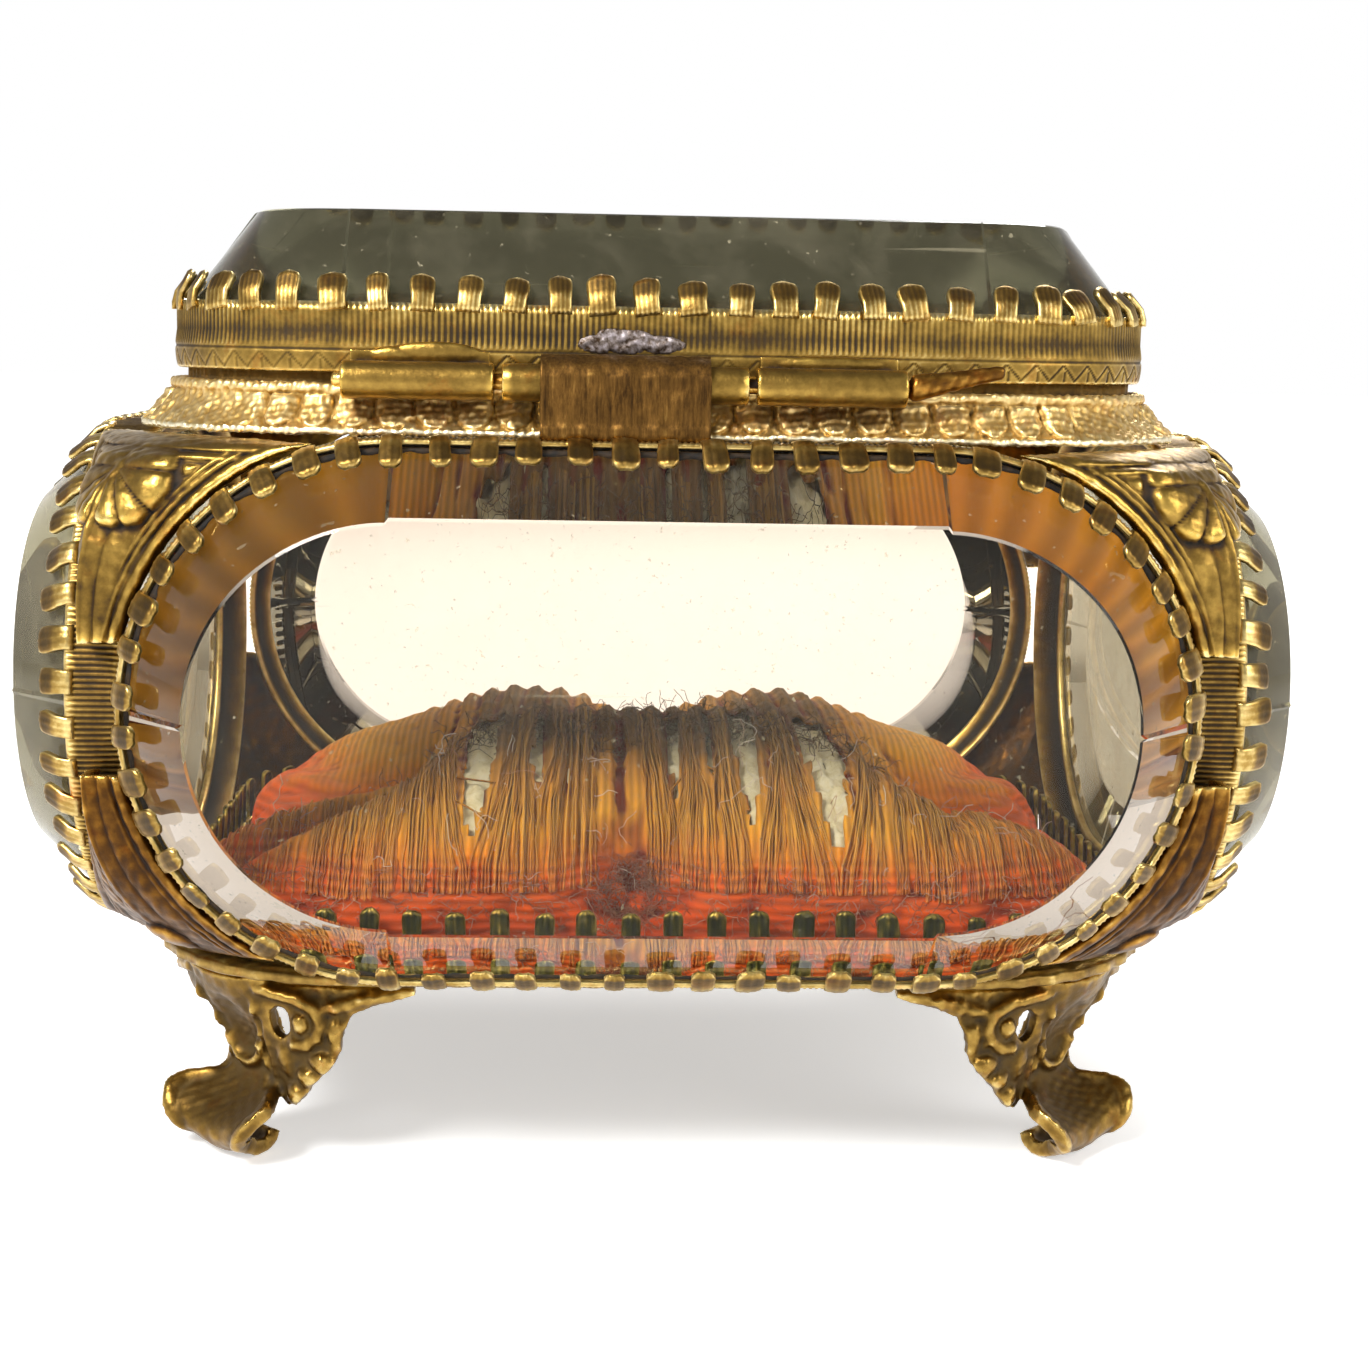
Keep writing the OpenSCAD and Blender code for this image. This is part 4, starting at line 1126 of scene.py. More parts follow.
def wing_height(flat):
    """Relief of a wing: hooked band, bead, brow and lobes with a grained ground."""
    hood = [(8.8, -0.5), (7.2, -0.4), (5.4, -0.7), (3.8, -0.95), (2.6, -1.6),
            (2.0, -2.7), (2.3, -3.9), (3.2, -4.7), (4.3, -4.9)]
    height = 0.8 * dome(to_lines(flat, hood) / 0.6)
    brow = [(-5.6, -0.1), (-2.6, -0.6), (-0.2, -1.2), (1.6, -1.6)]
    height = np.maximum(height, 0.55 * dome(to_lines(flat, brow) / 0.6))
    for x, y, wide, tall, rise in (
            (3.6, -3.0, 0.75, 1.0, 0.95), (0.9, -3.7, 0.7, 1.5, 0.55),
            (1.9, -6.0, 1.2, 0.9, 0.8), (3.4, -7.5, 1.0, 0.8, 0.75),
            (4.9, -9.3, 0.9, 0.9, 0.7), (5.6, -6.6, 0.9, 1.4, 0.5)):
        far = np.hypot((flat[..., 0] - x) / wide, (flat[..., 1] - y) / tall)
        height = np.maximum(height, rise * dome(far))
    where = np.stack([flat[..., 0], flat[..., 1], 0 * flat[..., 0]], -1)
    return height + 0.1 * wobble(where, 0.9, 66, 11) * np.clip((4 - flat[..., 0]) / 2, 0, 1)


def wing(sign):
    """One wing as a closed shell of small cells, bent round the corner."""
    step = 0.2
    s = np.arange(-6.0, 8.6, step)
    h = np.arange(-11.2, 0.4, step)
    flat = np.stack(np.meshgrid(s, h, indexing="ij"), -1)
    hole = ((flat[..., 0] - window[0]) / 0.9) ** 2 + (
        (flat[..., 1] - window[1] + 0.25 * (flat[..., 0] - window[0])) / 1.25) ** 2
    solid = inside_outline(flat, WING_EDGE if sign > 0 else LOW_WING_EDGE)
    solid &= (hole > 1) | (sign < 0)
    bend = np.clip(flat[..., 0], 0, None) / foot_r
    lean = 2.3 * np.clip((-2 - flat[..., 1]) / 7, 0, 1) * np.clip((flat[..., 0] - 2) / 5, 0, 1)

    def place(r):
        x = np.where(flat[..., 0] < 0, flat[..., 0], r * np.sin(bend))
        y = np.where(flat[..., 0] < 0, r, r * np.cos(bend))
        at = np.stack([x, y, foot_top + flat[..., 1]], -1)
        return at if sign > 0 else at[..., [1, 0, 2]]

    outer = place(foot_r - 0.15 + wing_height(flat) - lean)
    inner = place(foot_r - 1.25 - lean)
    cell = solid[:-1, :-1] & solid[1:, :-1] & solid[1:, 1:] & solid[:-1, 1:]
    index = np.arange(flat.shape[0] * flat.shape[1]).reshape(flat.shape[:2])
    half = index.size
    faces = []
    edge_count = {}
    for i, j in zip(*np.nonzero(cell)):
        quad = [int(index[i, j]), int(index[i + 1, j]), int(index[i + 1, j + 1]),
                int(index[i, j + 1])]
        faces += [tuple(quad), tuple(half + k for k in quad[::-1])]
        for a, b in zip(quad, quad[1:] + quad[:1]):
            if (b, a) in edge_count:
                del edge_count[(b, a)]
            else:
                edge_count[(a, b)] = 1
    for a, b in edge_count:
        faces.append((b, a, a + half, b + half))
    points = np.concatenate([outer.reshape(-1, 3), inner.reshape(-1, 3)])
    used = np.unique([k for f in faces for k in f])
    renumber = {int(k): n for n, k in enumerate(used)}
    return points[used], [tuple(renumber[k] for k in f) for f in faces]


# %% [markdown]
# The leg's side view is one smooth line with the thickness of the casting: down from
# the base, in to the ankle, out over the toe and back underneath into an open roll. Its
# width and its dishing change on the way.

# %% The leg and toe
LEG_SIDE = [(15.9, 15.9), (15.3, 14.2), (14.3, 12.3), (13.2, 10.6), (12.4, 9.2),
            (12.1, 8.0), (12.3, 6.9), (13.1, 5.9), (14.2, 5.1), (15.3, 4.4), (16.2, 3.5),
            (16.4, 2.4), (15.8, 1.4), (14.7, 0.75), (13.4, 0.5), (12.2, 0.65),
            (11.3, 1.3), (10.9, 2.1)]
LEG_HALF = [5.2, 4.9, 4.3, 3.7, 3.3, 3.2, 3.6, 4.8, 5.9, 6.0, 5.2, 4.3, 3.7, 3.3, 3.0,
            2.8, 2.6, 2.4]
LEG_BOW = [1.3, 1.3, 1.2, 1.1, 0.9, 0.6, 0.1, -0.5, -1.0, -1.2, -0.8, 0.0, 0.8, 0.9,
           0.6, 0.4, 0.2, 0.1]


def smooth_line(stations, count):
    """Catmull-Rom curve through stations, evenly counted."""
    p = np.asarray(stations, float)
    p = p.reshape(len(p), -1)
    ends = np.vstack([2 * p[:1] - p[1:2], p, 2 * p[-1:] - p[-2:-1]])
    t = np.linspace(0, len(p) - 1 - 1e-9, count)
    i = t.astype(int)
    f = (t - i)[:, None]
    a, b, c, d = ends[i], ends[i + 1], ends[i + 2], ends[i + 3]
    return 0.5 * (2 * b + (c - a) * f + (2 * a - 5 * b + 4 * c - d) * f ** 2
                  + (3 * b - a - 3 * c + d) * f ** 3)


def leg():
    """The leg as a closed shell in the corner's own frame."""
    rows, cols = 110, 41
    side = smooth_line(LEG_SIDE, rows)
    half = smooth_line(LEG_HALF, rows)[:, 0][:, None]
    crown = smooth_line(LEG_BOW, rows)[:, 0][:, None]
    run = np.gradient(side, axis=0)
    run /= np.linalg.norm(run, axis=1)[:, None]
    out = np.stack([-run[:, 1], run[:, 0]], -1)
    t = np.linspace(-1, 1, cols)[None, :]
    z = side[:, 1][:, None]
    share = np.linspace(0, 1, rows)[:, None]
    flat = np.stack([t * half, z + 0 * t], -1)
    leafy = np.clip((share - 0.02) / 0.08, 0, 1) * np.clip((0.4 - share) / 0.06, 0, 1)
    rims = 0.45 * dome(to_lines(np.abs(flat), [(4.5, 15.5), (3.4, 12.4), (2.7, 10.2),
                                               (2.3, 8.0)]) / 0.42)
    hollow = -0.7 * np.exp(-((flat[..., 0] / 1.7) ** 2 + ((z - 11.6) / 2.6) ** 2) ** 1.5)
    lip = 0.75 * dome((np.hypot(flat[..., 0], (z - 9.7)) - 1.95) / 0.5) * (z < 9.9)
    sides = 0.35 * np.sin(z * 2.3 + 0.8 * np.abs(flat[..., 0])) * (np.abs(t) > 0.72)
    height = (rims + hollow + lip + sides) * leafy
    toe = np.clip((share - 0.36) / 0.06, 0, 1)
    rim = 0.38 * dome((np.abs(t) - 0.9) / 0.14) * toe
    height = height + rim
    drop = -crown * t ** 2

    def place(depth):
        r = side[:, 0][:, None] + out[:, 0][:, None] * depth
        up = side[:, 1][:, None] + out[:, 1][:, None] * depth
        w = t * half
        return np.stack([(r + w) / math.sqrt(2), (r - w) / math.sqrt(2),
                         np.maximum(up, 0.0)], -1)

    return shell(place(drop + height - 0.1), place(drop - 1.05))


def weld(name, parts, voxel_mm, smooth_steps, material):
    """Joins closed shells into one skin by a voxel remesh, then smooths it."""
    obj = make_mesh(name, *joined(parts), material)
    for vertex_scale in (1 / MM,):
        obj.data.transform(Matrix.Scale(vertex_scale, 4))
    remesh = obj.modifiers.new("weld", "REMESH")
    remesh.mode = "VOXEL"
    remesh.voxel_size = voxel_mm
    if smooth_steps:
        calm = obj.modifiers.new("calm", "SMOOTH")
        calm.factor = 0.5
        calm.iterations = smooth_steps
    evaluated(obj)
    obj.data.transform(Matrix.Scale(MM, 4))
    obj.data.polygons.foreach_set("use_smooth", [True] * len(obj.data.polygons))
    obj.data.materials.clear()
    obj.data.materials.append(material)
    return obj


casting = weld("foot_casting", [wing(1), wing(-1), leg()], 0.2, 3, foot_brass)
casting_points = np.empty(len(casting.data.vertices) * 3)
casting.data.vertices.foreach_get("co", casting_points)
casting_points = casting_points.reshape(-1, 3) / MM
casting_points[:, 2] -= casting_points[:, 2].min()
casting_faces = [tuple(p.vertices) for p in casting.data.polygons]
bpy.data.objects.remove(casting)
print("casting", len(casting_faces), "faces")
for i, (place, (sx, sy)) in enumerate(CORNERS.items()):
    points = (casting_points + [*corner, 0]) * [sx, sy, 1]
    points[:, 2] *= foot_top / casting_points[:, 2].max()
    foot = make_mesh(f"cast_foot_{place}", points, casting_faces, foot_brass)
    add_relief(dent(foot, 0.03, 1.1, 71 + i), 1.0, 0.34)
    finish_piece(foot, "casket", "dark_gilt_brass", f"foot_{place}")

# %% [markdown]
# **Base and floor.** The feet are soldered under a flat ring, and a plate lies on it.
# A second toothed strip stands on the plate and fences the cushion in. Its teeth are
# upright, bent a little inwards, so the same tongue and the same tree serve again.

# %% Base ring and the floor's fence
floor_top = plate_high[2]
fence_low, fence_high = span("floor_gallery")
fence_r = fence_high[0] - corner[0] - 0.225


def base_ring():
    """A flat ring with a soft, slightly scalloped edge."""
    path = track(*corner, ring_out_r, 0.4)
    way = path["way"][:, None]
    low, high = ring_low[2], ring_high[2]
    scallop = 0.22 * np.abs(np.sin(math.pi * way / 3.3))
    one = np.ones_like(way)
    inner = lid_r - 1.1
    radius = np.hstack([one * inner, one * inner, ring_out_r - 0.5 - 0.5 * scallop,
                        ring_out_r - 0.12 - scallop, ring_out_r - 0.12 - scallop,
                        ring_out_r - 0.5 - 0.5 * scallop])
    height = np.hstack([one * low, one * high, one * high, one * (high - 0.2),
                        one * (low + 0.2), one * low])
    return grid(sweep(path, radius, height), wrap_rows=True, wrap_cols=True)


ring = add_relief(dent(make_mesh("base_plate_ring", *base_ring(), strip_brass), 0.05, 2, 81),
                  0.8, 0.5)
finish_piece(ring, "casket", "dark_gilt_brass", "base_ring")


def fence():
    """The swept wall and its row of upright teeth."""
    path = track(*corner, fence_r, 0.4)
    profile_r = np.array([0.225, 0.24, 0.1, -0.1, -0.24, -0.225]) + fence_r
    profile_z = np.array([0, 0.6, 0.72, 0.72, 0.6, 0]) + floor_top
    wall = make_mesh("fence_wall", *grid(sweep(path, profile_r, profile_z), True, True),
                     gilt_brass)
    whole = 4 * corner.sum() + 2 * math.pi * fence_r
    count = round(whole / tooth_pitch)
    random = np.random.default_rng(83)
    way = (np.arange(count) + 0.5) * whole / count
    centre, turn = at_way(*corner, fence_r, way)
    out = np.stack([np.cos(turn), np.sin(turn)], -1)
    places = np.column_stack([centre + out * fence_r, np.full(count, floor_top + 0.85)])
    along = np.column_stack([-np.sin(turn), np.cos(turn), np.zeros(count)])
    outward = np.column_stack([out, np.zeros(count)])
    sizes = np.column_stack([np.ones(count), random.uniform(0.85, 1.15, count),
                             random.uniform(0.9, 1.0, count)])
    rise = fence_high[2] - floor_top - 1.5
    teeth = row_of("fence_teeth", tooth_part(0.06, rise, 1.5, 0.5, 0.85, 0.05), places,
                   frames_to_euler(outward, along, np.tile([0, 0, 1.0], (count, 1))),
                   sizes, 0.05, 84, fence_brass)
    return merge("floor_fence", wall, teeth)


finish_piece(add_relief(dent(fence(), 0.05, 0.9, 85), 0.4, 0.1), "casket", "gilt_brass",
             "floor_gallery")
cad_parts["floor_plate"].data.materials.clear()
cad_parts["floor_plate"].data.materials.append(plain_brass)

# %% [markdown]
# **Hinge.** Three barrels of rolled sheet turn on one wire. The middle one is held to
# the collar by a plate folded over it, the outer two are soldered to the lid's strip
# with a web and a leaf, and the solder was left as it ran. Barrel, web, leaf and solder
# are welded into one skin, so the fillets between them come by themselves.

# %% Barrels and their solder
knuckle_low, knuckle_high = span("lid_knuckle_left")
hinge_y = knuckle_high[1] - 1.4
hinge_z = knuckle_low[2] + 1.4
barrel_r, bore_r = 1.4, 0.68
band_face = corner[1] + lid_r + 0.3


def tube(x0, x1, outer, inner, sides=48):
    """A closed pipe along X round the hinge line."""
    turn = np.linspace(0, 2 * math.pi, sides, endpoint=False)
    stations = [(x0 + 0.12, outer), (x1 - 0.12, outer), (x1, outer - 0.12), (x1, inner),
                (x0, inner), (x0, outer - 0.12)]
    ring = [np.stack([np.full(sides, x), hinge_y + r * np.cos(turn),
                      hinge_z + r * np.sin(turn)], -1) for x, r in stations]
    fine = [ring[0] + (ring[1] - ring[0]) * t for t in np.linspace(0, 1, 24)]
    return grid(np.array(fine + ring[2:]), wrap_rows=True, wrap_cols=True)


def block(low, high):
    """A box from corner to corner."""
    (x0, y0, z0), (x1, y1, z1) = low, high
    corners = [(x, y, z) for x in (x0, x1) for y in (y0, y1) for z in (z0, z1)]
    return np.array(corners), [(0, 1, 3, 2), (4, 6, 7, 5), (0, 4, 5, 1), (2, 3, 7, 6),
                               (0, 2, 6, 4), (1, 5, 7, 3)]


def mound(centre, radii, sides=20):
    """A lump of solder."""
    turn = np.linspace(0, 2 * math.pi, sides, endpoint=False)
    rise = np.linspace(-1.45, 1.45, 11)
    rings = [np.stack([np.cos(turn) * math.cos(t), np.sin(turn) * math.cos(t),
                       np.full(sides, math.sin(t))], -1) for t in rise]
    vertices, faces = grid(np.array(rings), wrap_cols=True)
    last = len(vertices) - sides
    faces += [tuple(range(sides))[::-1], tuple(range(last, last + sides))]
    return vertices * radii + centre, faces


def knuckle(side, lumps):
    """One of the lid's barrels with its web, leaf and solder."""
    low, high = span(f"lid_knuckle_{side}")
    x0, x1 = low[0], high[0]
    parts = [tube(x0, x1, barrel_r, bore_r),
             block((x0 + 0.05, band_face + 0.05, lid_foot + 0.05),
                   (x1 - 0.05, hinge_y - 0.8, lid_foot + 0.75)),
             block((x0 + 0.4, band_face + 0.05, lid_foot + 0.05),
                   (x1 - 0.4, band_face + 0.5, lid_foot + 1.7))]
    for x, z, rx, rz in lumps:
        parts.append(mound((x0 + x, band_face + 0.3, lid_foot + z), (rx, 0.5, rz)))
    piece = weld(f"hinge_barrel_{side}", parts, 0.11, 3, gilt_brass)
    add_relief(dent(piece, 0.012, 3.4, 91), 0.9, 0.3)
    return finish_piece(piece, "lid", "gilt_brass", f"lid_knuckle_{side}")


knuckle("right", [(4.5, 1.5, 3.6, 0.9), (7.5, 1.3, 2.0, 0.7)])
knuckle("left", [(5.5, 1.2, 4.5, 0.6)])

# %% [markdown]
# The folded plate starts behind the middle barrel, goes over it, falls in front as a
# flat face, and tucks in under a bead of solder on the collar's foot.

# %% Folded plate, middle barrel and pin
hinge_plate_low, hinge_plate_high = span("hinge_plate")
pin_low, pin_high = span("hinge_pin")
plate_x = (3.2 - 6.25, 3.2 + 6.25)


def folded_plate():
    """The sheet's side view, swept across, with brushed and dented faces."""
    over = [(hinge_y + 1.78 * math.cos(t), hinge_z + 1.78 * math.sin(t))
            for t in np.radians([125, 105, 85, 65, 45, 25, 8])]
    foot = collar_foot
    fall = [(hinge_y + 1.62, hinge_z - 0.9), (hinge_y + 1.5, hinge_z - 1.9),
            (hinge_y + 1.62, foot + 1.15), (hinge_y + 1.8, foot + 0.62),
            (hinge_y + 1.55, foot + 0.14), (hinge_y + 0.9, foot + 0.04),
            (hinge_y + 0.25, foot + 0.06)]
    side = smooth_line(over + fall, 64)
    run = np.gradient(side, axis=0)
    run /= np.linalg.norm(run, axis=1)[:, None]
    out = np.stack([-run[:, 1], run[:, 0]], -1)
    x = np.linspace(*plate_x, 90)
    level = np.stack([x, 0 * x], -1)
    brush = 0.03 * wobble(level, 0.9, 93, 9)[None, :] * np.ones((64, 1))
    edge = 0.1 * np.exp(-((np.minimum(x - plate_x[0], plate_x[1] - x) - 0.35) / 0.3) ** 2)
    lift = brush + edge[None, :]
    lip = np.minimum(x - plate_x[0], plate_x[1] - x)
    lift = lift - 0.12 * np.exp(-lip / 0.1)[None, :]

    def place(depth):
        y = side[:, 0][:, None] + out[:, 0][:, None] * depth
        z = side[:, 1][:, None] + out[:, 1][:, None] * depth
        return np.stack([x[None, :] + 0 * y, y, z], -1)

    return shell(place(-lift), place(0.36 + 0 * lift))


brushed, tree = new_material("scored_hinge_sheet_brass")
where = add(tree, "ShaderNodeTexCoord").outputs["Object"]
drawn = add(tree, "ShaderNodeMapping", {"Vector": where, "Scale": (1, 1, 0.07)})
scores = noise(tree, drawn.outputs[0], 0.32, 5, 0.7)
stains = noise(tree, where, 3.5, 5, 0.65)
streak = maths(tree, "ADD", maths(tree, "MULTIPLY", scores, 0.7),
               maths(tree, "MULTIPLY", stains, 0.4))
sheet = add(tree, "ShaderNodeBsdfPrincipled", {
    "Base Color": ramp(tree, streak, [(0.36, "#2c1c0b"), (0.5, "#4f3615"), (0.62, "#6b4b20"),
                                      (0.8, "#a27d3e")]),
    "Metallic": 0.92, "Roughness": ramp(tree, streak, [(0.4, 0.65), (0.65, 0.4)]),
    "Normal": add(tree, "ShaderNodeBump", {"Height": scores, "Strength": 0.35,
                                           "Distance": 0.05 * MM}).outputs[0]})
add(tree, "ShaderNodeOutputMaterial", {"Surface": sheet.outputs[0]})
middle = make_mesh("middle_barrel", *tube(3.2 - 9.1, 3.2 + 9.1, barrel_r, 0.58), gilt_brass)
add_relief(dent(middle, 0.012, 3.4, 94), 0.9, 0.3)
folded = make_mesh("folded_sheet", *folded_plate(), brushed)
add_relief(dent(folded, 0.03, 1.4, 94), 0.6, 0.1)
hinge_plate = merge("hinge_plate_and_barrel", middle, folded)
finish_piece(hinge_plate, "casket", "gilt_brass", "hinge_plate")


def wire():
    """The pin: straight through the barrels, then a beaten, tapering tail."""
    x_end, x_bend = pin_high[0], 3.2 - 21.0
    stations = [(x_bend + 0.6, hinge_z, 0.55)]
    rise = math.radians(11)
    for far, r in ((0.0, 0.62), (0.4, 0.98), (1.0, 1.0), (2.2, 0.88), (3.6, 0.74),
                   (5.0, 0.62), (6.4, 0.55), (7.1, 0.48), (7.3, 0.25)):
        stations.append((x_bend - far * math.cos(rise), hinge_z + far * math.sin(rise), r))
    straight = [(x_end, hinge_z, 0.35), (x_end - 0.2, hinge_z, 0.55)]
    line = np.vstack([straight, smooth_line(stations, 70)])
    turn = np.linspace(0, 2 * math.pi, 20, endpoint=False)
    rings = np.stack([line[:, 0][:, None] + 0 * turn,
                      hinge_y + line[:, 2][:, None] * 0.82 * np.cos(turn),
                      line[:, 1][:, None] + line[:, 2][:, None] * np.sin(turn)], -1)
    vertices, faces = grid(rings, wrap_cols=True)
    last = len(vertices) - 20
    faces += [tuple(range(20)), tuple(range(last, last + 20))[::-1]]
    return vertices, faces


pin = make_mesh("hinge_wire", *wire(), dark_brass)
finish_piece(add_relief(dent(pin, 0.03, 1.0, 95), 0.5, 0.08), "casket", "pin_steel",
             "hinge_pin")


def thumb_tongue():
    """The finger lift on the lid's front, with fine upright grips."""
    reach, half = 2.6, 4.08
    x = np.linspace(-half, half, 61)[None, :]
    d = np.linspace(0, 1, 13)[:, None]
    edge = -band_face - reach + 4.5 - np.sqrt(4.5 ** 2 - x ** 2)
    y = -band_face + 0.02 + d * (edge + band_face - 0.02)
    grip = 0.07 * np.cos(2 * math.pi * x / 0.9) * np.sin(math.pi * d) ** 0.5
    top = np.stack([x + 0 * y, y, lid_foot + 1.3 + grip - 0.12 * d ** 4], -1)
    under = np.stack([x + 0 * y, y, lid_foot + 0.5 + 0.12 * d ** 4 + 0 * y], -1)
    return shell(top, under)


thumb = make_mesh("thumb_tongue", *thumb_tongue(), gilt_brass)
finish_piece(add_relief(thumb, 0.4, 0.08), "lid", "gilt_brass", "thumb_lift")

# %% [markdown]
# A grey smear of lead solder on the lid's strip, left by an old repair, is a thin lump
# of its own metal.

# %% Solder smear
solder, tree = new_material("tinned_lead_solder")
where = add(tree, "ShaderNodeTexCoord").outputs["Object"]
mottle = noise(tree, where, 0.5, 5, 0.7)
skin = add(tree, "ShaderNodeBsdfPrincipled", {
    "Base Color": ramp(tree, mottle, [(0.38, "#3d2c1c"), (0.5, "#7b6f68"), (0.66, "#aca2a4")]),
    "Metallic": 0.8, "Roughness": 0.42,
    "Normal": add(tree, "ShaderNodeBump", {"Height": mottle, "Strength": 0.7,
                                           "Distance": 0.12 * MM}).outputs[0]})
add(tree, "ShaderNodeOutputMaterial", {"Surface": skin.outputs[0]})
smear_parts = [mound((x, corner[1] + lid_r + 0.12, lid_foot + z), (rx, 0.2, rz))
               for x, z, rx, rz in ((3.0, 2.6, 2.4, 0.95), (0.6, 2.4, 2.0, 0.7),
                                    (5.2, 2.4, 1.7, 0.7), (4.2, 3.1, 1.2, 0.5))]
smear = weld("solder_smear", smear_parts, 0.09, 2, solder)
finish_piece(dent(smear, 0.04, 0.6, 97), "lid", "pin_steel")

# %% [markdown]
# **Cushion.** A pad of cotton wadding under orange silk, tufted down to its card. The
# silk has rotted: only its upright warp threads are left over the high middle, drawn
# into bundles with the wadding showing between them. The pad starts as a height over
# its rounded plan, with the tufts and creases pulled in.

# %% The pad's rough form
card_low, card_high = span("cushion_board")
pad_foot = card_high[2] + 0.05
pad_r = card_high[0] - corner[0]
crown_h = 13.6
TUFTS = ((2.2, 26.5, 9.5, 4.6), (-24, 6, 4.5, 6), (24, 4, 4.5, 6), (0, -10, 4, 8),
         (0, -25, 8, 6))
CREASES = (((20, 13), (37, 22), 3.6, 1.9), ((-20, 11), (-38, 16), 3.4, 1.9),
           ((24, 4), (34, -20), 1.8, 2.5), ((-24, 4), (-34, -20), 1.8, 2.5),
           ((2.2, 27), (3.6, 10), 2.4, 1.6))


def pad_height(x, y, share):
    """Height of the pad over its card."""
    crown = 0.16 + 0.84 * np.maximum(0, 1 - share ** 3.2) ** 0.62
    middle = 0.70 + 0.30 / (1 + np.abs(x / 19) ** 6)
    pull = np.zeros_like(x)
    for tx, ty, depth, r in TUFTS:
        far = ((x - tx) ** 2 + (y - ty) ** 2) / r ** 2
        pull = np.maximum(pull, depth * np.exp(-far))
    flat = np.stack([x, y], -1)
    for a, b, depth, r in CREASES:
        pull = np.maximum(pull, depth * np.exp(-(to_lines(flat, [a, b]) / r) ** 2))
    pull = pull * np.where(share > 0.97, 0.3, 1)
    return np.maximum(1.6, crown_h * crown * middle - pull)


def pad_form():
    """The pad as a closed dome on its flat foot."""
    spokes, rings = 220, 46
    path = track(*corner, pad_r, 0.5)
    way = np.arange(spokes) / spokes * path["length"]
    centre, turn = at_way(*corner, pad_r, way)
    rim = centre + pad_r * np.stack([np.cos(turn), np.sin(turn)], -1)
    draw = 1 - 1.2 / np.linalg.norm(rim, axis=1) * np.cos(2 * np.arctan2(
        rim[:, 1] / 30, rim[:, 0] / 38)) ** 2
    share = (np.arange(1, rings + 1) / rings)[:, None]
    x, y = rim[:, 0] * draw * share, rim[:, 1] * draw * share
    z = pad_foot + pad_height(x, y, share + 0 * x)
    skin = np.stack([x, y, z], -1)
    foot = skin[-1:].copy()
    foot[..., 2] = pad_foot
    vertices, faces = grid(np.concatenate([skin, foot]), wrap_cols=True)
    tip = np.array([[0, 0, pad_foot + pad_height(np.zeros(1), np.zeros(1), np.zeros(1))[0]]])
    n = len(vertices)
    faces += [(n, k, (k + 1) % spokes) for k in range(spokes)]
    faces.append(tuple(range(n - spokes, n)))
    return np.vstack([vertices, tip]), faces


# %% [markdown]
# Cloth is simulated at ten times the real size, where Blender's settings behave as
# they do for a seat cushion. The skin is a little too big for the pad, so under
# pressure it puffs and wrinkles round the places where it is sewn down. A point may
# not move more than a cap, so that the pad stays in its fence.

# %% Puff the silk with a cloth simulation
SCALE = 10
CAP_MM = 1.5


def puffed(points, faces):
    """Points and faces of the pad after a short inflation."""
    mesh = bpy.data.meshes.new("pad")
    mesh.from_pydata((points * MM * SCALE).tolist(), [], faces)
    pad = bpy.data.objects.new("pad", mesh)
    scene.collection.objects.link(pad)
    remesh = pad.modifiers.new("even", "REMESH")
    remesh.mode = "VOXEL"
    remesh.voxel_size = 0.0102
    evaluated(pad)
    mesh = pad.data
    start = np.empty(len(mesh.vertices) * 3)
    mesh.vertices.foreach_get("co", start)
    start = start.reshape(-1, 3)
    held = pad.vertex_groups.new(name="sewn")
    local = start / MM / SCALE
    sewn = local[:, 2] < pad_foot + 1.2
    for tx, ty, _, r in TUFTS:
        sewn |= np.hypot(local[:, 0] - tx, local[:, 1] - ty) < 0.28 * r
    held.add([int(k) for k in np.nonzero(sewn)[0]], 1.0, "REPLACE")
    cloth = pad.modifiers.new("cloth", "CLOTH")
    cloth.settings.vertex_group_mass = "sewn"
    cloth.settings.quality = 5
    cloth.settings.mass = 0.15
    cloth.settings.tension_stiffness = 12
    cloth.settings.compression_stiffness = 12
    cloth.settings.shear_stiffness = 5
    cloth.settings.bending_stiffness = 0.05
    cloth.settings.shrink_min = -0.07
    cloth.settings.use_pressure = True
    cloth.settings.uniform_pressure_force = 4
    cloth.settings.effector_weights.gravity = 0
    for k in range(1, 19):
        scene.frame_set(k)
    depsgraph = bpy.context.evaluated_depsgraph_get()
    moved = pad.evaluated_get(depsgraph).to_mesh()
    end = np.empty(len(moved.vertices) * 3)
    moved.vertices.foreach_get("co", end)
    end = end.reshape(-1, 3)
    pad.modifiers.clear()
    pad.vertex_groups.clear()
    scene.frame_set(1)
    step = end - start
    far = np.linalg.norm(step, axis=1)[:, None]
    cap = CAP_MM * MM * SCALE
    return pad, start + step * np.minimum(1, cap / np.maximum(far, 1e-9))


pad, pad_points = puffed(*pad_form())
pad.data.vertices.foreach_set("co", pad_points.ravel())
pad.data.transform(Matrix.Scale(1 / SCALE, 4))
pad.data.polygons.foreach_set("use_smooth", [True] * len(pad.data.polygons))
round_off = pad.modifiers.new("round", "SUBSURF")
round_off.levels = round_off.render_levels = 1
evaluated(pad)
print("pad", len(pad.data.polygons), "faces")
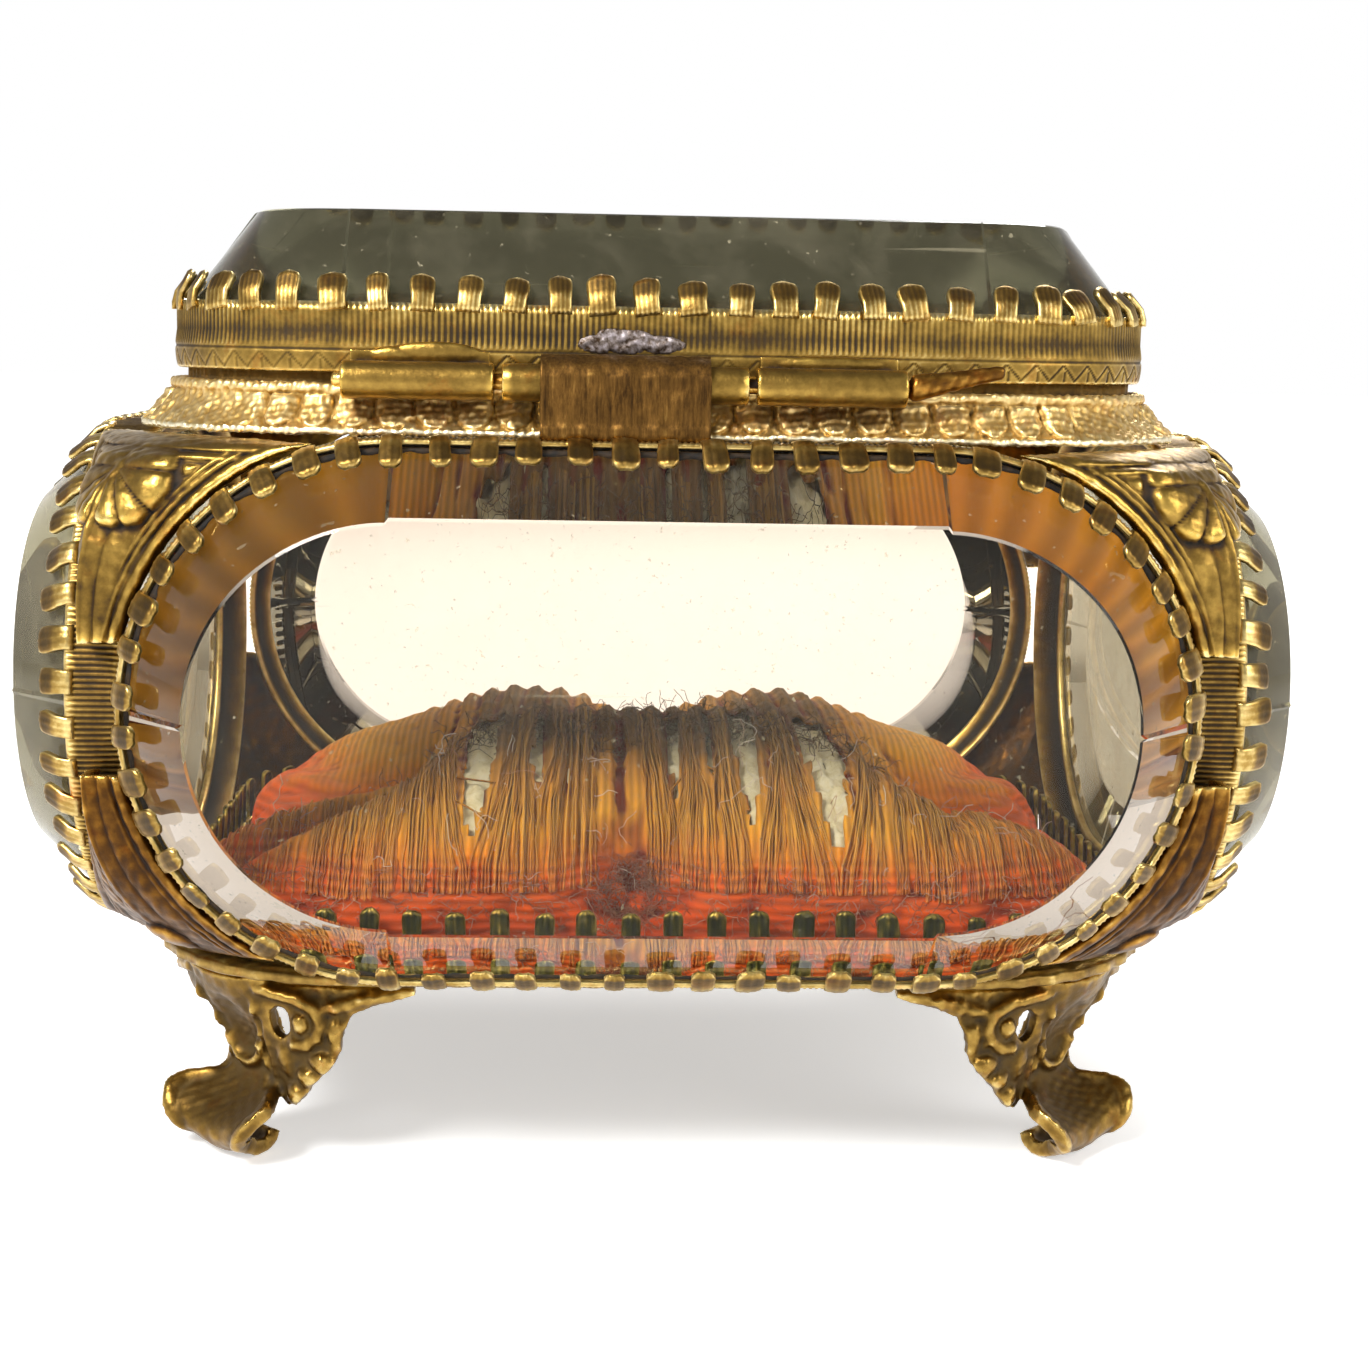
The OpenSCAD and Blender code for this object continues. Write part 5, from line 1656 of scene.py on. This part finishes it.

# %% [markdown]
# ** Silk and cotton.** Silk is orange-red low down, with patches of dust, fades to ochre
# above, and turns grey-brown on top; the grey-brown top is painted shade, where the
# collar and the lid shade the cushion, so the colour follows the height. Creases are
# painted dark red, partly the dye that kept its colour and partly painted shade, and the
# sewn hole is painted near black as painted shade. Its weave, two threads in 0.35 mm, is
# drawn as fine upright bands. The wadding is a matt cream fibre, painted grey on top as
# the same painted shade.

# %% Silk, thread and wadding finishes
def silk_finish(name, threads):
    """Faded silk. threads True gives single loose threads, tinted one by one."""
    material, tree = new_material(name)
    where = add(tree, "ShaderNodeTexCoord").outputs["Object"]
    parts = add(tree, "ShaderNodeSeparateXYZ", {0: where}).outputs
    drift = noise(tree, where, 5, 4, 0.6)
    level = maths(tree, "ADD", parts["Z"], maths(tree, "MULTIPLY",
                  maths(tree, "SUBTRACT", drift, 0.5), 3.2 * MM))
    share = maths(tree, "DIVIDE", maths(tree, "SUBTRACT", level, 18 * MM), 16 * MM,
                  clamp=True)
    # From about 31 mm up the colour turns grey-brown: painted shade on the cushion's top.
    colour = ramp(tree, share, [(0.0, "#7d3a22"), (0.06, "#c2441a"), (0.18, "#e65412"),
                                (0.38, "#ee6610"), (0.46, "#ee8d1c"), (0.6, "#f0aa30"),
                                (0.8, "#d39238"), (0.88, "#8c6633"), (1.0, "#6a4d2e")])
    if threads:
        tint = add(tree, "ShaderNodeAttribute", attribute_name="tint").outputs["Fac"]
        pale = blend_colour(tree, 0.5, colour, linear("#e3ad55"))
        deep = blend_colour(tree, 0.5, colour, linear("#6f3410"))
        colour = blend_colour(tree, tint, deep, pale)
    else:
        relief = add(tree, "ShaderNodeAttribute", attribute_name="relief").outputs["Fac"]
        # Concave places are painted dark red: partly the dye that kept its colour there, partly
        # painted shade in the creases.
        crease = ramp(tree, relief, [(0.1, 0.95), (0.4, 0.0)])
        colour = blend_colour(tree, crease, colour, linear("#6a120e"))
        # Round the sewn tuft the silk is painted a darker red, and near black at the hole: painted
        # shade of the dimple and the hole.
        for middle, reach, deep in (((3.0, 26, 26.5), 4.6, "#7c2118"),
                                    ((2.2, 28, 22.4), 1.9, "#140a07")):
            far = add(tree, "ShaderNodeVectorMath", {
                0: where, 1: tuple(c * MM for c in middle)}, operation="DISTANCE")
            near = ramp(tree, maths(tree, "DIVIDE", far.outputs["Value"], reach * MM),
                        [(0.45, 0.85), (1.0, 0.0)])
            colour = blend_colour(tree, near, colour, linear(deep))
    dust = ramp(tree, noise(tree, where, 2.2, 6, 0.75), [(0.52, 0.0), (0.82, 0.3)])
    colour = blend_colour(tree, dust, colour, linear("#8a6f58"))
    weave = add(tree, "ShaderNodeTexWave", {
        "Vector": where, "Scale": 1 / (2 * math.pi * 0.35 * MM), "Distortion": 1.2,
        "Detail": 2.0, "Detail Scale": 0.3}, bands_direction="X")
    weft = add(tree, "ShaderNodeTexWave", {
        "Vector": where, "Scale": 1 / (2 * math.pi * 0.4 * MM), "Distortion": 2.0,
        "Detail": 2.0, "Detail Scale": 0.5}, bands_direction="Z")
    low = ramp(tree, share, [(0.38, 1.0), (0.5, 0.0)])
    cloth_height = blend_colour(tree, low, weave.outputs["Color"], weft.outputs["Color"])
    colour = blend_colour(tree, 0.35, colour, cloth_height, "MULTIPLY")
    bump = add(tree, "ShaderNodeBump", {"Height": cloth_height, "Strength": 0.6,
                                        "Distance": 0.14 * MM})
    cloth = add(tree, "ShaderNodeBsdfPrincipled", {
        "Base Color": colour, "Roughness": 0.8, "Sheen Weight": 0.06,
        "Specular IOR Level": 0.25, "Normal": bump.outputs[0]})
    add(tree, "ShaderNodeOutputMaterial", {"Surface": cloth.outputs[0]})
    return material


faded_silk = silk_finish("faded_orange_silk", False)
silk_thread = silk_finish("loose_silk_thread", True)

cotton, tree = new_material("cotton_wadding_fibre")
where = add(tree, "ShaderNodeTexCoord").outputs["Object"]
tuftiness = noise(tree, where, 1.1, 7, 0.75, 0.8)
painted_shade = noise(tree, where, 5, 4, 0.6)
cream = ramp(tree, tuftiness, [(0.3, "#d9c894"), (0.5, "#f4e9c4"), (0.7, "#fffaea")])
# From about 32 mm up the wadding is painted grey, its edge broken by noise: painted shade on the
# cushion's top.
high = add(tree, "ShaderNodeSeparateXYZ", {0: where}).outputs["Z"]
high = maths(tree, "ADD", high, maths(tree, "MULTIPLY", painted_shade, 1.2 * MM))
top_shade = ramp(tree, maths(tree, "DIVIDE", maths(tree, "SUBTRACT", high, 32.3 * MM), 1.2 * MM,
                          clamp=True), [(0.0, 0.0), (1.0, 0.8)])
cream = blend_colour(tree, top_shade, cream, linear("#8d877a"))
fluff = add(tree, "ShaderNodeBsdfPrincipled", {
    "Base Color": cream, "Roughness": 0.95, "Sheen Weight": 0.15,
    "Normal": add(tree, "ShaderNodeBump", {"Height": tuftiness, "Strength": 0.8,
                                           "Distance": 0.35 * MM}).outputs[0]})
add(tree, "ShaderNodeOutputMaterial", {"Surface": fluff.outputs[0]})

# %% [markdown]
# The tears are upright wedges: an apex below, opening towards the crest. The silk's
# faces inside a wedge are taken out, and threads beside it are pushed to its edges.

# %% Cut the silk
TEARS = ((15.0, 24.9, 32.2, 2.3, -0.06), (9.7, 28.9, 31.4, 0.95, 0.0),
         (-1.5, 27.2, 32.2, 1.0, 0.03), (-4.4, 29.2, 32.2, 0.9, 0.0),
         (-7.5, 26.0, 32.2, 1.75, 0.0), (-14.1, 24.2, 32.4, 2.9, 0.0),
         (-18.4, 27.5, 32.2, 0.7, 0.06))


BUNDLE = 2.1


def tear_half(tear, z):
    """Middle and half width of a tear at height z."""
    x, apex, top, half, slant = tear
    t = np.clip((z - apex) / (top - apex), 0, 1)
    return x + slant * (z - apex), half * t * np.clip((top + 4 - z) / 3.2, 0.35, 1)


def in_tear(points, share):
    """True inside a tear, on the back of the pad."""
    inside = np.zeros(len(points), bool)
    for tear in TEARS:
        middle, half = tear_half(tear, points[:, 2])
        inside |= (np.abs(points[:, 0] - middle) < share * half) & (half > 0)
    return inside & (points[:, 1] > 4)


def points_of(obj):
    """A mesh's points in millimetres."""
    place = np.empty(len(obj.data.vertices) * 3)
    obj.data.vertices.foreach_get("co", place)
    return place.reshape(-1, 3) / MM


silk = pad
silk.name = silk.data.name = "silk_cover"
silk.data.materials.clear()
silk.data.materials.append(faded_silk)
wadding = silk.copy()
wadding.data = silk.data.copy()
scene.collection.objects.link(wadding)
wadding.name = wadding.data.name = "wadding_pad"
wadding.data.materials.clear()
wadding.data.materials.append(cotton)
surface = points_of(silk)
skin_normal = np.empty(len(surface) * 3)
silk.data.vertices.foreach_get("normal", skin_normal)
bundled = np.clip((surface[:, 2] - 26.5) / 3, 0, 1) * np.clip((23 - np.abs(surface[:, 0])) / 5, 0, 1)
gather = np.cos(2 * math.pi * surface[:, 0] / BUNDLE + 0.8 * np.sin(surface[:, 0] / 3))
cords = surface + skin_normal.reshape(-1, 3) * (0.32 * bundled * gather)[:, None]
silk.data.vertices.foreach_set("co", (cords * MM).ravel())
silk.data.update()
silk_tree_points = cords.copy()

add_relief(dent(silk, 0.1, 2.4, 101), 1.6, 0.35)
work = bmesh.new()
work.from_mesh(silk.data)
inside = in_tear(surface, 0.8)
torn = [f for f in work.faces if all(inside[v.index] for v in f.verts)]
bmesh.ops.delete(work, geom=torn, context="FACES")
work.to_mesh(silk.data)
work.free()
thick = silk.modifiers.new("thickness", "SOLIDIFY")
thick.thickness = 0.22 * MM
thick.offset = -1
evaluated(silk)
finish_piece(silk, "casket", "orange_silk", "cushion_silk")

lumps = points_of(wadding)
normal = np.empty(len(lumps) * 3)
wadding.data.vertices.foreach_get("normal", normal)
depth = 0.75 - 0.35 * wobble(lumps, 2.1, 103) * (lumps[:, 2] > pad_foot + 2)
lumps -= normal.reshape(-1, 3) * depth[:, None]
wadding.data.vertices.foreach_set("co", (lumps * MM).ravel())
wadding.data.update()
finish_piece(wadding, "casket", "cotton_wadding", "cushion_wadding")

# %% [markdown]
# **Loose threads.** Each warp thread is laid on the pad from below by casting rays at
# it in an upright plane. A Geometry Nodes tree turns the lines into thin three-sided
# tubes. Loose curls of fibre stand on the crest and along the foot.

# %% The tree that gives lines a thickness
def strand_tree():
    """Geometry Nodes tree: mesh lines to thin tubes."""
    tree = bpy.data.node_groups.new("strands", "GeometryNodeTree")
    face = tree.interface
    face.new_socket("Geometry", in_out="OUTPUT", socket_type="NodeSocketGeometry")
    for label, kind in (("Lines", "Geometry"), ("Radius", "Float"), ("Sides", "Int"),
                        ("Finish", "Material")):
        face.new_socket(label, in_out="INPUT", socket_type="NodeSocket" + kind)
    given = add(tree, "NodeGroupInput").outputs
    curves = add(tree, "GeometryNodeMeshToCurve", {0: given["Lines"]})
    profile = add(tree, "GeometryNodeCurvePrimitiveCircle", {
        "Resolution": given["Sides"], "Radius": given["Radius"]})
    tubes = add(tree, "GeometryNodeCurveToMesh", {
        "Curve": curves.outputs[0], "Profile Curve": profile.outputs[0],
        "Fill Caps": True})
    real = add(tree, "GeometryNodeRealizeInstances", {"Geometry": tubes.outputs[0]})
    done = add(tree, "GeometryNodeSetMaterial", {
        "Geometry": real.outputs[0], "Material": given["Finish"]})
    add(tree, "NodeGroupOutput", {0: done.outputs[0]})
    return tree


STRAND_TREE = strand_tree()


def strands(name, lines, tints, radius, material):
    """A mesh of tubes along lines, an array of (strands, points, 3)."""
    count, points = lines.shape[:2]
    index = np.arange(count * points).reshape(count, points)
    edges = np.stack([index[:, :-1], index[:, 1:]], -1).reshape(-1, 2)
    mesh = bpy.data.meshes.new(name)
    mesh.from_pydata((lines.reshape(-1, 3) * MM).tolist(), edges.tolist(), [])
    layer = mesh.attributes.new("tint", "FLOAT", "POINT")
    layer.data.foreach_set("value", np.repeat(tints, points).astype(np.float32))
    obj = bpy.data.objects.new(name, mesh)
    scene.collection.objects.link(obj)
    modifier = obj.modifiers.new("strands", "NODES")
    modifier.node_group = STRAND_TREE
    sockets = {i.name: i.identifier for i in STRAND_TREE.interface.items_tree}
    for label, value in (("Radius", radius * MM), ("Sides", 3), ("Finish", material)):
        modifier[sockets[label]] = value
    return evaluated(obj)


# %% Lay the warp threads on the pad
from mathutils.bvhtree import BVHTree

pad_skin = BVHTree.FromPolygons([Vector(p) for p in silk_tree_points.tolist()],
                                [tuple(f.vertices) for f in wadding.data.polygons])


def on_pad(x, angle):
    """The pad's surface in the plane at x, seen from an angle above the horizon."""
    hub = Vector((x, 12.0, pad_foot + 3.5))
    way = Vector((0, math.cos(angle), math.sin(angle)))
    hit = pad_skin.ray_cast(hub + way * 60, -way)[0]
    return np.array(hit if hit is not None else hub + way * 4)


def warp_threads(count, seed, lift):
    """Threads from the foot over the crest, parted by the tears."""
    random = np.random.default_rng(seed)
    angles = np.radians(np.linspace(4, 118, 17))
    lines, tints = [], []
    for x in np.sort(random.uniform(-35.5, 36, count)):
        x -= 0.26 * math.sin(2 * math.pi * x / BUNDLE + 0.8 * math.sin(x / 3))
        if abs(x - 2.9) < 2.1:
            continue
        high = 118 if abs(x) < 21 else random.uniform(55, 80)
        line = []
        wander = random.normal(0, 0.1)
        fray = random.uniform(0, 1) ** 3
        for k, angle in enumerate(angles * high / 118):
            p = on_pad(x, angle)
            shift = 0.0
            for tear in TEARS:
                middle, half = tear_half(tear, p[2])
                off = p[0] - middle
                reach = 3.2 + half
                if abs(off) < reach:
                    side = 1 if off >= 0 else -1
                    pushed = side * (half + abs(off) * (1 - half / reach))
                    shift += pushed - off
            q = on_pad(x + shift + wander * k * 0.12, angle)
            way = np.array([0, math.cos(angle), math.sin(angle)])
            loose = lift + 0.5 * fray * math.sin(math.pi * k / 16)
            line.append(q + way * loose)
        line = np.array(line)
        line[:, 0] += 0.09 * wobble(line, 3.1, int(random.integers(1e6)), 3)
        lines.append(line)
        tints.append(random.uniform(0, 1))
    return np.array(lines), np.array(tints)


first, first_tint = warp_threads(330, 111, 0.1)
second, second_tint = warp_threads(300, 112, 0.26)
threads = strands("warp_threads", np.concatenate([first, second]),
                  np.concatenate([0.55 * first_tint, 0.35 + 0.65 * second_tint]), 0.1,
                  silk_thread)
finish_piece(threads, "casket", "orange_silk")


# %% Curls of loose fibre
def curls(count, seed, spots, spread, reach):
    """Random curling fibres near given spots of the pad."""
    random = np.random.default_rng(seed)
    lines = []
    for _ in range(count):
        x, angle = spots(random)
        at = on_pad(x, angle) + random.normal(0, 0.12, 3)
        way = random.normal(0, 1, 3) * spread
        way /= np.linalg.norm(way)
        line = [at]
        for _ in range(9):
            way = way + random.normal(0, 0.55, 3)
            way /= np.linalg.norm(way)
            line.append(line[-1] + way * reach * random.uniform(0.6, 1.2))
        lines.append(line)
    lines = np.array(lines)
    lines[..., 2] = np.maximum(lines[..., 2], pad_foot + 0.2)
    return lines


crest = curls(700, 121, lambda r: (r.normal(0, 11), math.radians(r.uniform(72, 118))),
              np.array([1, 1, 0.35]), 0.42)
foot = curls(900, 122, lambda r: (r.uniform(-36, 36), math.radians(r.uniform(-4, 9))),
             np.array([1, 0.4, 0.5]), 0.3)
stray = curls(130, 123, lambda r: (r.uniform(-34, 34), math.radians(r.uniform(10, 75))),
              np.array([1, 0.5, 1]), 0.55)


def round_the_tuft(random):
    """A place on the ring of fluff round the sewn hole."""
    t = random.uniform(0, 2 * math.pi)
    r = random.uniform(1.7, 3.4)
    return 2.2 + r * math.cos(t), math.atan2(0.2 + 0.8 * r * math.sin(t), 14)


ring_fluff = curls(520, 125, round_the_tuft, np.array([1, 0.5, 1]), 0.32)

lint, tree = new_material("dusty_cotton_lint")
tint = add(tree, "ShaderNodeAttribute", attribute_name="tint").outputs["Fac"]
lint_skin = add(tree, "ShaderNodeBsdfPrincipled", {
    "Base Color": ramp(tree, tint, [(0.0, "#4a3a2a"), (0.3, "#75604a"), (0.55, "#84432f"),
                                    (0.8, "#bf9076"), (1.0, "#ece4d6")]),
    "Roughness": 0.9, "Sheen Weight": 0.1})
add(tree, "ShaderNodeOutputMaterial", {"Surface": lint_skin.outputs[0]})
hairs = np.concatenate([crest, foot, stray, ring_fluff])
random = np.random.default_rng(124)
# Curls on the crest take the darkest, grey-brown shades, the same painted shade as the cushion's
# top.
shades = np.concatenate([random.uniform(low, high, len(part)) for part, low, high in (
    (crest, 0.0, 0.4), (foot, 0.4, 0.85), (stray, 0.75, 1.0), (ring_fluff, 0.45, 0.7))])
lint_piece = strands("loose_fibres", hairs, shades, 0.032, lint)
finish_piece(lint_piece, "casket", "cotton_wadding")

# %% [markdown]
# The card under the pad shows only from below through the floor's ring. It keeps its
# CAD shape and gets a grey board's finish.

# %% Card
card, tree = new_material("grey_backing_card")
where = add(tree, "ShaderNodeTexCoord").outputs["Object"]
pulp = noise(tree, where, 0.8, 6, 0.7)
board = add(tree, "ShaderNodeBsdfPrincipled", {
    "Base Color": ramp(tree, pulp, [(0.35, "#77695a"), (0.65, "#a2937e")]),
    "Roughness": 0.9,
    "Normal": add(tree, "ShaderNodeBump", {"Height": pulp, "Strength": 0.4,
                                           "Distance": 0.1 * MM}).outputs[0]})
add(tree, "ShaderNodeOutputMaterial", {"Surface": board.outputs[0]})
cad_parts["cushion_board"].data.materials.clear()
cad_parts["cushion_board"].data.materials.append(card)

# %% [markdown]
# The studio is a plain white floor under a white sky. The floor takes the lamps' light,
# so it keeps the casket's shadow, and the sky is white only to rays that see it: the
# camera's, and those that metal and glass send on.

# %% Floor, sky and lamps
floor_finish, tree = new_material("white_studio_floor")
paper = add(tree, "ShaderNodeBsdfDiffuse", {"Color": linear("#f2f2f2")})
where = add(tree, "ShaderNodeTexCoord").outputs["Object"]
far = add(tree, "ShaderNodeVectorMath", {0: where}, operation="LENGTH").outputs["Value"]
fade = ramp(tree, maths(tree, "DIVIDE", far, 600 * MM), [(0.2, 0.5), (1.0, 1.0)])
path = add(tree, "ShaderNodeLightPath").outputs
sent_on = maths(tree, "MAXIMUM", path["Is Glossy Ray"], path["Is Transmission Ray"])
glow = maths(tree, "MAXIMUM", maths(tree, "MULTIPLY", path["Is Camera Ray"], fade),
             maths(tree, "MULTIPLY", sent_on, 0.42))
lift = add(tree, "ShaderNodeEmission", {"Color": (1, 1, 1, 1), "Strength": glow})
both = add(tree, "ShaderNodeAddShader", {0: paper.outputs[0], 1: lift.outputs[0]})
add(tree, "ShaderNodeOutputMaterial", {"Surface": both.outputs[0]})
reach = 3000
floor = make_mesh("studio_floor", [(-reach, -reach, 0), (reach, -reach, 0),
                                   (reach, reach, 0), (-reach, reach, 0)],
                  [(0, 1, 2, 3)], floor_finish, outwards=False)

world = bpy.data.worlds.new("studio_sky")
scene.world = world
world.use_nodes = True
tree = world.node_tree
tree.nodes.clear()
path = add(tree, "ShaderNodeLightPath").outputs
seen = maths(tree, "MAXIMUM", path["Is Camera Ray"],
             maths(tree, "MAXIMUM", path["Is Glossy Ray"], path["Is Transmission Ray"]))
heading = add(tree, "ShaderNodeTexCoord").outputs["Generated"]
height = add(tree, "ShaderNodeSeparateXYZ", {0: heading}).outputs["Z"]
ceiling = ramp(tree, height, [(0.2, 1.0), (0.55, 0.3), (1.0, 0.22)])
strength = maths(tree, "ADD", maths(tree, "MULTIPLY", seen, 0.4), 0.6)
sky = add(tree, "ShaderNodeBackground", {"Color": ceiling, "Strength": strength})
add(tree, "ShaderNodeOutputWorld", {"Surface": sky.outputs[0]})


def soft_lamp(name, place, target, width, power):
    """A square lamp that faces a target, in millimetres and watts."""
    data = bpy.data.lights.new(name, "AREA")
    data.size = width * MM
    data.energy = power
    lamp = bpy.data.objects.new(name, data)
    scene.collection.objects.link(lamp)
    lamp.location = Vector(place) * MM
    aim = (Vector(target) - Vector(place)).normalized()
    lamp.rotation_euler = aim.to_track_quat("-Z", "Y").to_euler()
    return lamp


soft_lamp("key_lamp", (330, 400, 520), (0, 0, 35), 240, 6.0)
soft_lamp("fill_lamp", (-420, 300, 320), (0, 0, 35), 300, 1.4)
soft_lamp("front_lamp", (-150, -500, 480), (0, 0, 35), 300, 3.5)
